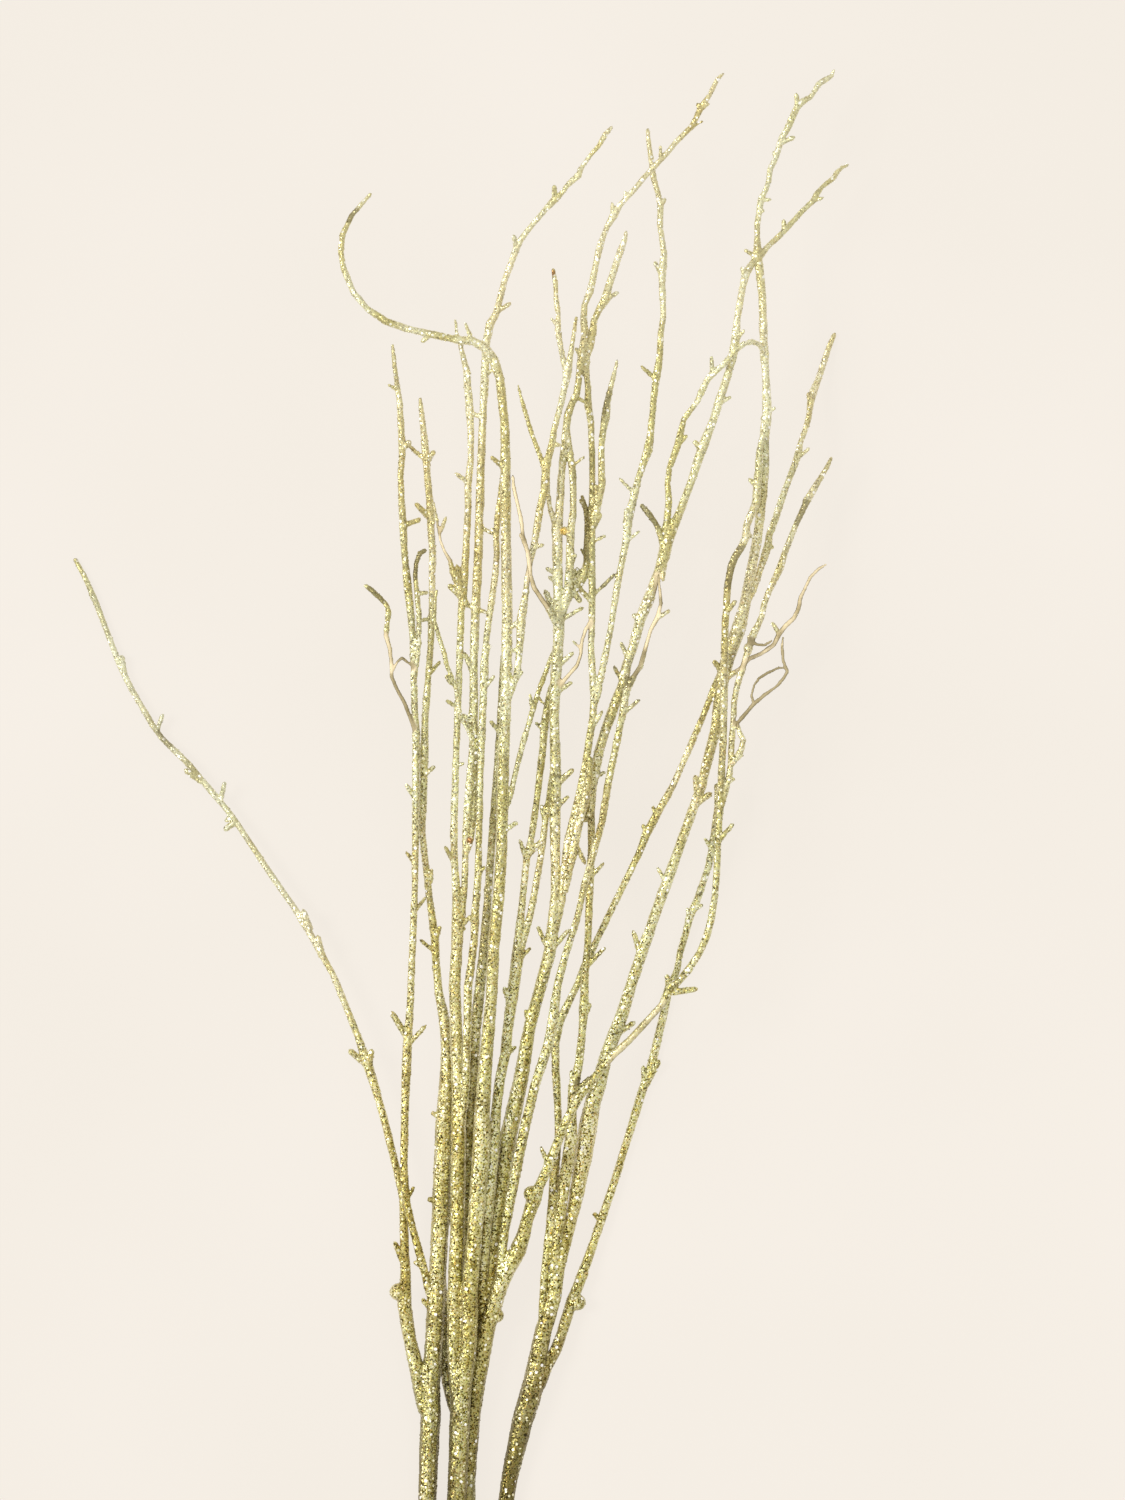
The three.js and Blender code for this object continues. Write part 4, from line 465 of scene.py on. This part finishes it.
class Nodes:
    """Short names for building a material's nodes. Colours are given as 0 to 255."""

    def __init__(self, name):
        self.material = bpy.data.materials.new(name)
        self.material.use_nodes = True
        self.tree = self.material.node_tree
        self.shader = self.tree.nodes["Principled BSDF"]

    def add(self, kind, inputs=(), **settings):
        """A new node with those settings and inputs."""
        node = self.tree.nodes.new(kind)
        for key, value in settings.items():
            setattr(node, key, value)
        for key, value in dict(inputs).items():
            self.put(node.inputs[key], value)
        return node

    def put(self, socket, value):
        """Link a socket to an input, or write a value or a colour in it."""
        if isinstance(value, bpy.types.NodeSocket):
            self.tree.links.new(value, socket)
        elif socket.type == "RGBA":
            socket.default_value = (*srgb(*value), 1)
        else:
            socket.default_value = value

    def math(self, operation, *values):
        """One step of arithmetic."""
        node = self.add("ShaderNodeMath", operation=operation)
        for socket, value in zip(node.inputs, values):
            self.put(socket, value)
        return node.outputs[0]

    def vector(self, operation, first, second):
        """One step of vector arithmetic. To SCALE, the second is a number."""
        place = "Scale" if operation == "SCALE" else 1
        inputs = {0: first, place: second}
        return self.add("ShaderNodeVectorMath", inputs, operation=operation).outputs[0]

    def rise(self, value, start, end, top=1.0, smooth=False):
        """0 at the start, that top at the end, and held outside them."""
        kind = "SMOOTHSTEP" if smooth else "LINEAR"
        inputs = {"Value": value, "From Min": start, "From Max": end, "To Max": top}
        return self.add("ShaderNodeMapRange", inputs, interpolation_type=kind).outputs["Result"]

    def noise(self, place, scale, detail):
        """Soft noise, mostly around 0.5."""
        inputs = {"Vector": place, "Scale": scale, "Detail": detail}
        return self.add("ShaderNodeTexNoise", inputs).outputs["Fac"]

    def cells(self, place, scale):
        """Cells that each have a random colour, and the distance from their middles."""
        cell = self.add("ShaderNodeTexVoronoi", {"Vector": place, "Scale": scale}, feature="F1")
        return cell.outputs["Color"], cell.outputs["Distance"]

    def channels(self, colour):
        """The red, green and blue of a colour."""
        return self.add("ShaderNodeSeparateColor", {"Color": colour}).outputs

    def scattered(self, place, scale, above, radius):
        """1 in round spots of some of the cells: those whose random value is above that."""
        colour, distance = self.cells(place, scale)
        chosen = self.math("GREATER_THAN", self.channels(colour)["Red"], above)
        return self.math("MULTIPLY", chosen, self.math("LESS_THAN", distance, radius))

    def ramp(self, value, stops):
        """The colour at that value between the stops, each a position and a colour."""
        node = self.add("ShaderNodeValToRGB", {"Fac": value})
        elements = node.color_ramp.elements
        while len(elements) < len(stops):
            elements.new(0.5)
        for element, (position, colour) in zip(elements, stops):
            element.position = position
            element.color = (*srgb(*colour), 1)
        return node.outputs["Color"]

    def mix(self, part, first, second, blend="MIX"):
        """The first colour with that part of the second."""
        node = self.add("ShaderNodeMix", data_type="RGBA", blend_type=blend)
        self.put(node.inputs["Factor"], part)
        self.put(node.inputs["A"], first)
        self.put(node.inputs["B"], second)
        return node.outputs["Result"]

    def times(self, first, second, part=1.0):
        """The first colour, and by that part the product of both."""
        return self.mix(part, first, second, "MULTIPLY")

    def less(self, value, taken):
        """A value where the part that is taken away is 0, and nothing where it is 1."""
        return self.math("MULTIPLY", value, self.math("SUBTRACT", 1.0, taken))


# ---- Glitter and bark ---------------------------------------------------------------------
# Colours are 0 to 255. A ramp lists values and the colour at each. A pair of places (Y or X in
# metres) or values is where something begins and where it is complete.

FLAKES = 1250                     # cells to the metre
FLAKE_GOLDS = [(0.0, (52, 42, 4)), (0.21, (146, 132, 46)), (0.37, (232, 225, 154)),
               (0.66, (249, 245, 208)), (1.0, (254, 252, 238))]
FLAKE_HUES = [(0.0, (255, 220, 180)), (0.16, (255, 255, 255)), (0.8, (255, 255, 255)),
              (1.0, (244, 255, 240))]
FLAKE_TILT = 0.8                  # how much a flake's shading normal leans
PATCHES = (90, 3)                 # waves to the metre, and their detail
PATCH_SHADES = [(0.3, (204, 197, 170)), (0.48, (245, 243, 233)), (0.7, (255, 255, 255))]
SIDE_UP = (0.8, 0.1)              # the upward part of the normal on a twig's side
# Painted light: open sides are painted lighter, as if lit by the pale floor.
SIDE_PAINTED_LIGHT = 0.2                   # an open side's flakes are this much further up their ramp

PALE_Y = (-140 * MM, 420 * MM)    # glitter grows paler along the spray
PALE_SHARE = 0.58                 # in the end it has this share of that gold
PALE_GOLD = (242, 235, 206)
OUTLYING_X = (-50 * MM, -90 * MM)   # and greyer along the arch that reaches far to the left
OUTLYING_SHARE = 0.45
OUTLYING_GOLD = (232, 228, 206)
STRETCHES = (30, 2)               # waves of browner twigs and stretches,
STRETCH_SHAPE = (1.5, 0.3, 1.5)   # which are longer than wide
STRETCH_BROWNS = [(0.42, (255, 255, 255)), (0.64, (226, 220, 188))]
TINTS = (11, 1)                   # waves of a slow tint that turns from gold to green
TINT_SHADES = [(0.38, (255, 252, 246)), (0.62, (250, 254, 250))]
DEEP_Y = (0.0, -250 * MM)         # a deeper gold towards the lower end
DEEP_TINT = (254, 251, 236)

# Painted shade: the colour is taken towards SHADE where light would reach the bark less.
LOW_Y = (-190 * MM, -400 * MM)    # the lower end lies in the dark
LOW_SIDE = 0.6                    # its sides most of all
SUNK_SHADE = 0.35                 # and so does bark between and under its neighbours,
SUNK_LOW_SHADE = 0.4              # more so at the lower end
MOST_SHADE = 0.85
SHADE = (118, 104, 38)
LIT_SHARE = 0.3                   # open sides catch the light of the pale floor,
LIT_PALE_SHARE = 0.25             # more so where the glitter is paler
LIT_LOW_LOSS = 0.9                # and hardly at all at the lower end
FLOOR_LIGHT = (252, 247, 222)

# Painted highlights: larger grains of paler gold, and glints painted near white, that stand in
# for glitter catching the light:
# cells to the metre, the random value above which a cell has one, and its radius in cells.
SPARKS = (480, 0.84, 0.4)
SPARK_GOLD = (250, 244, 206)
SPARK_PALE = (252, 249, 232)
GLINTS = (330, 0.915, 0.33)
GLINT_WHITE = (255, 252, 246)

# Bare bark: tan where it faces up and olive brown on its sides is painted light and shade; the
# waves along it are its own tone.
BARK_TONES_AND_PAINTED_SHADE = [(0.0, (230, 213, 174)), (0.35, (182, 165, 122)), (0.9, (100, 88, 56))]
BARK_WAVES = (75, 3)
BARK_WAVE_HEIGHT = 1.6            # how strongly the waves lighten and darken it
BARK_LIGHTER = 0.65               # how far up the ramp the whole of it is moved
DULL_SHADE = (208, 204, 190)
DULL_SHARE = 0.4
DULL_OLIVE = (142, 133, 98)
TIP_SHARE = 0.55
TIP_OLIVE = (156, 152, 106)
WOOD_SHADES = [(0.1, (170, 140, 92)), (0.3, (214, 190, 144)), (0.86, (222, 200, 156)),
               (0.94, (130, 98, 62))]
WOOD_RINGS = 60                   # radians of the wave that makes the rings
WOOD_RING_HEIGHT = 0.06
WOOD_FROM = 0.02                  # a cut face is where the fact "cut" is above this
RED_BUD = (154, 116, 70)
AMBER_BUD = (226, 194, 112)

GLITTER_METAL = 0.75
BARE_METAL = 0.1
BARE_TILT = 0.05
SMOOTHEST = 0.2                   # roughness of the smoothest flake
ROUGHER = 0.22                    # and how much rougher the roughest one is
BARE_ROUGH = 0.55
WOOD_ROUGH = 0.85

# What branch_piece wrote down at each point.
FACTS = ("bare", "dull", "tip", "sunk", "cut", "red_bud", "amber_bud", "up", "left")


def facts_of(n, place):
    """The written facts, and what follows from them and from a point's place."""
    fact = {kind: n.add("ShaderNodeAttribute", attribute_name=kind).outputs["Fac"]
            for kind in FACTS}
    axes = n.add("ShaderNodeSeparateXYZ", {"Vector": place}).outputs
    fact["side"] = n.rise(fact["up"], *SIDE_UP, smooth=True)
    fact["open_side"] = n.less(fact["side"], fact["sunk"])
    fact["outlying"] = n.rise(axes["X"], *OUTLYING_X, top=OUTLYING_SHARE)
    fact["pale"] = n.rise(axes["Y"], *PALE_Y)
    fact["deep"] = n.rise(axes["Y"], *DEEP_Y)
    fact["low"] = n.rise(axes["Y"], *LOW_Y, smooth=True)
    return fact


def flake_gold(n, place, fact, random):
    """A gold of its own for each flake, in darker and lighter patches, and lighter on open sides
    as painted light from the pale floor.
    """
    value = n.math("MULTIPLY_ADD", fact["open_side"], SIDE_PAINTED_LIGHT, random["Red"])
    colour = n.times(n.ramp(value, FLAKE_GOLDS), n.ramp(n.noise(place, *PATCHES), PATCH_SHADES))
    return n.times(colour, n.ramp(random["Blue"], FLAKE_HUES))


def turned_along(n, place, fact, colour):
    """That colour as it changes from end to end of the spray and from twig to twig."""
    colour = n.mix(n.math("MULTIPLY", fact["pale"], PALE_SHARE), colour, PALE_GOLD)
    colour = n.mix(fact["outlying"], colour, OUTLYING_GOLD)
    drawn_out = n.vector("MULTIPLY", place, STRETCH_SHAPE)
    colour = n.times(colour, n.ramp(n.noise(drawn_out, *STRETCHES), STRETCH_BROWNS))
    colour = n.times(colour, n.ramp(n.noise(place, *TINTS), TINT_SHADES))
    return n.times(colour, DEEP_TINT, fact["deep"])


def shaded(n, fact, painted_low_shade, painted_left_shade, colour):
    """That colour with painted shade: darker at the lower end, most on its sides and left side,
    and between and under close neighbours.
    """
    left = n.math("MULTIPLY_ADD", n.math("MAXIMUM", fact["left"], 0.0), painted_left_shade, painted_low_shade)
    dark = n.math("MULTIPLY_ADD", fact["side"], LOW_SIDE, left)
    dark = n.math("MULTIPLY", fact["low"], dark)
    hollow = n.math("MULTIPLY_ADD", fact["low"], SUNK_LOW_SHADE, SUNK_SHADE)
    hollow = n.math("MULTIPLY", fact["sunk"], hollow)
    return n.times(colour, SHADE, n.math("MINIMUM", n.math("ADD", hollow, dark), MOST_SHADE))


def floor_lit(n, fact, colour):
    """That colour, lighter on the sides that face the pale floor."""
    lit = n.math("MULTIPLY_ADD", fact["pale"], LIT_PALE_SHARE, LIT_SHARE)
    lit = n.math("MULTIPLY", fact["open_side"], lit)
    high = n.math("MULTIPLY_ADD", fact["low"], -LIT_LOW_LOSS, 1.0)
    return n.mix(n.math("MULTIPLY", lit, high), colour, FLOOR_LIGHT)


def sparkling(n, place, fact, colour):
    """That colour with scattered larger grains of paler gold, painted as highlights where glitter
    would catch the light.
    """
    spark = n.mix(fact["pale"], SPARK_GOLD, SPARK_PALE)
    return n.mix(n.scattered(place, *SPARKS), colour, spark)


def uncovered(n, place, fact, colour):
    """That colour with bare bark, tan on top and olive brown aside as painted light and shade,
    with real waves of tone along it, and with dull stretches and tips.
    """
    # Painted light and shade: bare bark is tan where it faces up and olive brown on its sides.
    shade = n.math("SUBTRACT", fact["side"], BARK_LIGHTER)
    shade = n.math("MULTIPLY_ADD", n.noise(place, *BARK_WAVES), BARK_WAVE_HEIGHT, shade)
    colour = n.mix(fact["bare"], colour, n.ramp(shade, BARK_TONES_AND_PAINTED_SHADE))
    dulled = n.mix(DULL_SHARE, n.times(colour, DULL_SHADE), DULL_OLIVE)
    colour = n.mix(fact["dull"], colour, dulled)
    return n.mix(n.math("MULTIPLY", fact["tip"], TIP_SHARE), colour, TIP_OLIVE)


def cut_and_budded(n, fact, is_cut, colour):
    """That colour with pale ringed wood on the cut face, and with the coloured buds."""
    ring = n.math("SINE", n.math("MULTIPLY", fact["cut"], WOOD_RINGS))
    wood = n.ramp(n.math("MULTIPLY_ADD", ring, WOOD_RING_HEIGHT, fact["cut"]), WOOD_SHADES)
    colour = n.mix(is_cut, colour, wood)
    colour = n.mix(fact["red_bud"], colour, RED_BUD)
    return n.mix(fact["amber_bud"], colour, AMBER_BUD)


def leaning_normal(n, flake_colour, bare, is_cut):
    """The normal, leaning another way on each flake, and hardly at all where there are none."""
    away = n.vector("SUBTRACT", flake_colour, (0.5, 0.5, 0.5))
    glittered = n.less(n.math("MULTIPLY_ADD", bare, BARE_TILT - FLAKE_TILT, FLAKE_TILT), is_cut)
    normal = n.add("ShaderNodeNewGeometry").outputs["Normal"]
    turned = n.vector("ADD", normal, n.vector("SCALE", away, glittered))
    return n.add("ShaderNodeVectorMath", {0: turned}, operation="NORMALIZE").outputs[0]


def glitter_material(name, depth, painted_low_shade, painted_left_shade):
    """Gold glitter glued on bark.

    The first number darkens a branch that lies low in the spray, as painted shade; the second
    paints shade on its lower end, and the third paints more shade on the left side of that end,
    where a neighbour's shadow is painted.
    """
    n = Nodes(name)
    place = n.add("ShaderNodeTexCoord").outputs["Object"]
    fact = facts_of(n, place)
    flake_colour, _ = n.cells(place, FLAKES)
    random = n.channels(flake_colour)
    # Painted glints: some cells are painted near white and not metal, as painted highlights.
    white = n.less(n.scattered(place, *GLINTS), fact["bare"])
    is_cut = n.math("GREATER_THAN", fact["cut"], WOOD_FROM)

    colour = flake_gold(n, place, fact, random)
    colour = turned_along(n, place, fact, colour)
    colour = shaded(n, fact, painted_low_shade, painted_left_shade, colour)
    colour = floor_lit(n, fact, colour)
    colour = sparkling(n, place, fact, colour)
    # Painted shade: a branch that lies low in the spray is made a little darker.
    colour = n.vector("SCALE", colour, depth)
    colour = n.mix(white, colour, GLINT_WHITE)
    colour = uncovered(n, place, fact, colour)
    colour = cut_and_budded(n, fact, is_cut, colour)

    rough = n.math("MULTIPLY_ADD", random["Green"], ROUGHER, SMOOTHEST)
    rough = n.math("MAXIMUM", rough, n.math("MULTIPLY", fact["bare"], BARE_ROUGH))
    rough = n.math("MAXIMUM", rough, n.math("MULTIPLY", is_cut, WOOD_ROUGH))
    metal = n.math("MULTIPLY_ADD", fact["bare"], BARE_METAL - GLITTER_METAL, GLITTER_METAL)
    n.put(n.shader.inputs["Base Color"], colour)
    n.put(n.shader.inputs["Roughness"], rough)
    n.put(n.shader.inputs["Metallic"], n.less(n.less(metal, white), is_cut))
    n.put(n.shader.inputs["Normal"], leaning_normal(n, flake_colour, fact["bare"], is_cut))
    return n.material


def floor_material():
    """A pale light table: it glows a little, so that the shadows on it stay faint."""
    n = Nodes("floor")
    place = n.add("ShaderNodeTexCoord").outputs["Object"]
    colour = n.ramp(n.noise(place, *FLOOR_WAVES), FLOOR_SHADES)
    n.put(n.shader.inputs["Base Color"], n.vector("SCALE", colour, FLOOR_SHARE))
    n.put(n.shader.inputs["Emission Color"], colour)
    n.put(n.shader.inputs["Emission Strength"], FLOOR_GLOW)
    n.put(n.shader.inputs["Roughness"], FLOOR_ROUGHNESS)
    n.put(n.shader.inputs["Specular IOR Level"], FLOOR_SHINE)
    return n.material


# ---- Light and camera ---------------------------------------------------------------------

def sun(name, azimuth, elevation, spread, strength, colour):
    """A soft light from far away: azimuth from +X towards +Y, angles in degrees."""
    light = bpy.data.lights.new(name, "SUN")
    light.angle = math.radians(spread)
    light.energy = strength
    light.color = colour
    lamp = bpy.data.objects.new(name, light)
    bpy.context.scene.collection.objects.link(lamp)
    turn, rise = math.radians(azimuth), math.radians(elevation)
    level = math.cos(rise)
    source = Vector((math.cos(turn) * level, math.sin(turn) * level, math.sin(rise)))
    lamp.rotation_euler = source.to_track_quat("Z", "Y").to_euler()


def sky():
    """Even light from all around."""
    world = bpy.data.worlds.new("studio")
    bpy.context.scene.world = world
    world.use_nodes = True
    background = world.node_tree.nodes["Background"]
    background.inputs["Color"].default_value = SKY_COLOUR
    background.inputs["Strength"].default_value = SKY_STRENGTH


def camera():
    """A camera that looks straight down, with the view's top towards +Y."""
    data = bpy.data.cameras.new("camera")
    data.sensor_width = SENSOR
    data.lens = SENSOR * CAMERA_RISE / VIEW_LENGTH
    piece = bpy.data.objects.new("camera", data)
    bpy.context.scene.collection.objects.link(piece)
    piece.location = (*VIEW_CENTRE, VIEW_PLANE + CAMERA_RISE)
    bpy.context.scene.camera = piece


# ---- The scene ----------------------------------------------------------------------------
BRANCHES = [
    # CAD node, visible piece, material slot, seed, brightness (below 1 a painted shade on a
    # branch that lies low), painted shade on the lower end and, on top of that, on its left side
    ("left_branch", "left_twigs", "left_bark", 11, 0.97, 0.46, 0.0),
    ("middle_front_branch", "middle_front_twigs", "middle_front_bark", 12, 1.0, 0.35, 1.2),
    ("middle_rear_branch", "middle_rear_twigs", "middle_rear_bark", 13, 0.97, 0.45, 0.0),
    ("right_branch", "right_twigs", "right_bark", 14, 1.0, 1.15, 0.0),
]

remeshes = {row[0]: remeshed(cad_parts[row[0]]) for row in BRANCHES}
surroundings = Surroundings([points for points, _, _ in remeshes.values()])

for node_name, piece_name, slot_name, seed, *look in BRANCHES:
    piece = branch_piece(remeshes[node_name], surroundings, piece_name, seed)
    piece.data.materials.append(glitter_material(slot_name, *look))
    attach(piece, "root")
    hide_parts(node_name)

bpy.ops.mesh.primitive_plane_add(size=FLOOR_SIZE, location=(0, 0, -FLOOR_DROP))
floor = bpy.context.object
floor.name = "floor"
floor.data.materials.append(floor_material())

for name, *settings in SUNS:
    sun(name, *settings)
sky()
camera()
bpy.context.scene.view_settings.view_transform = "Standard"
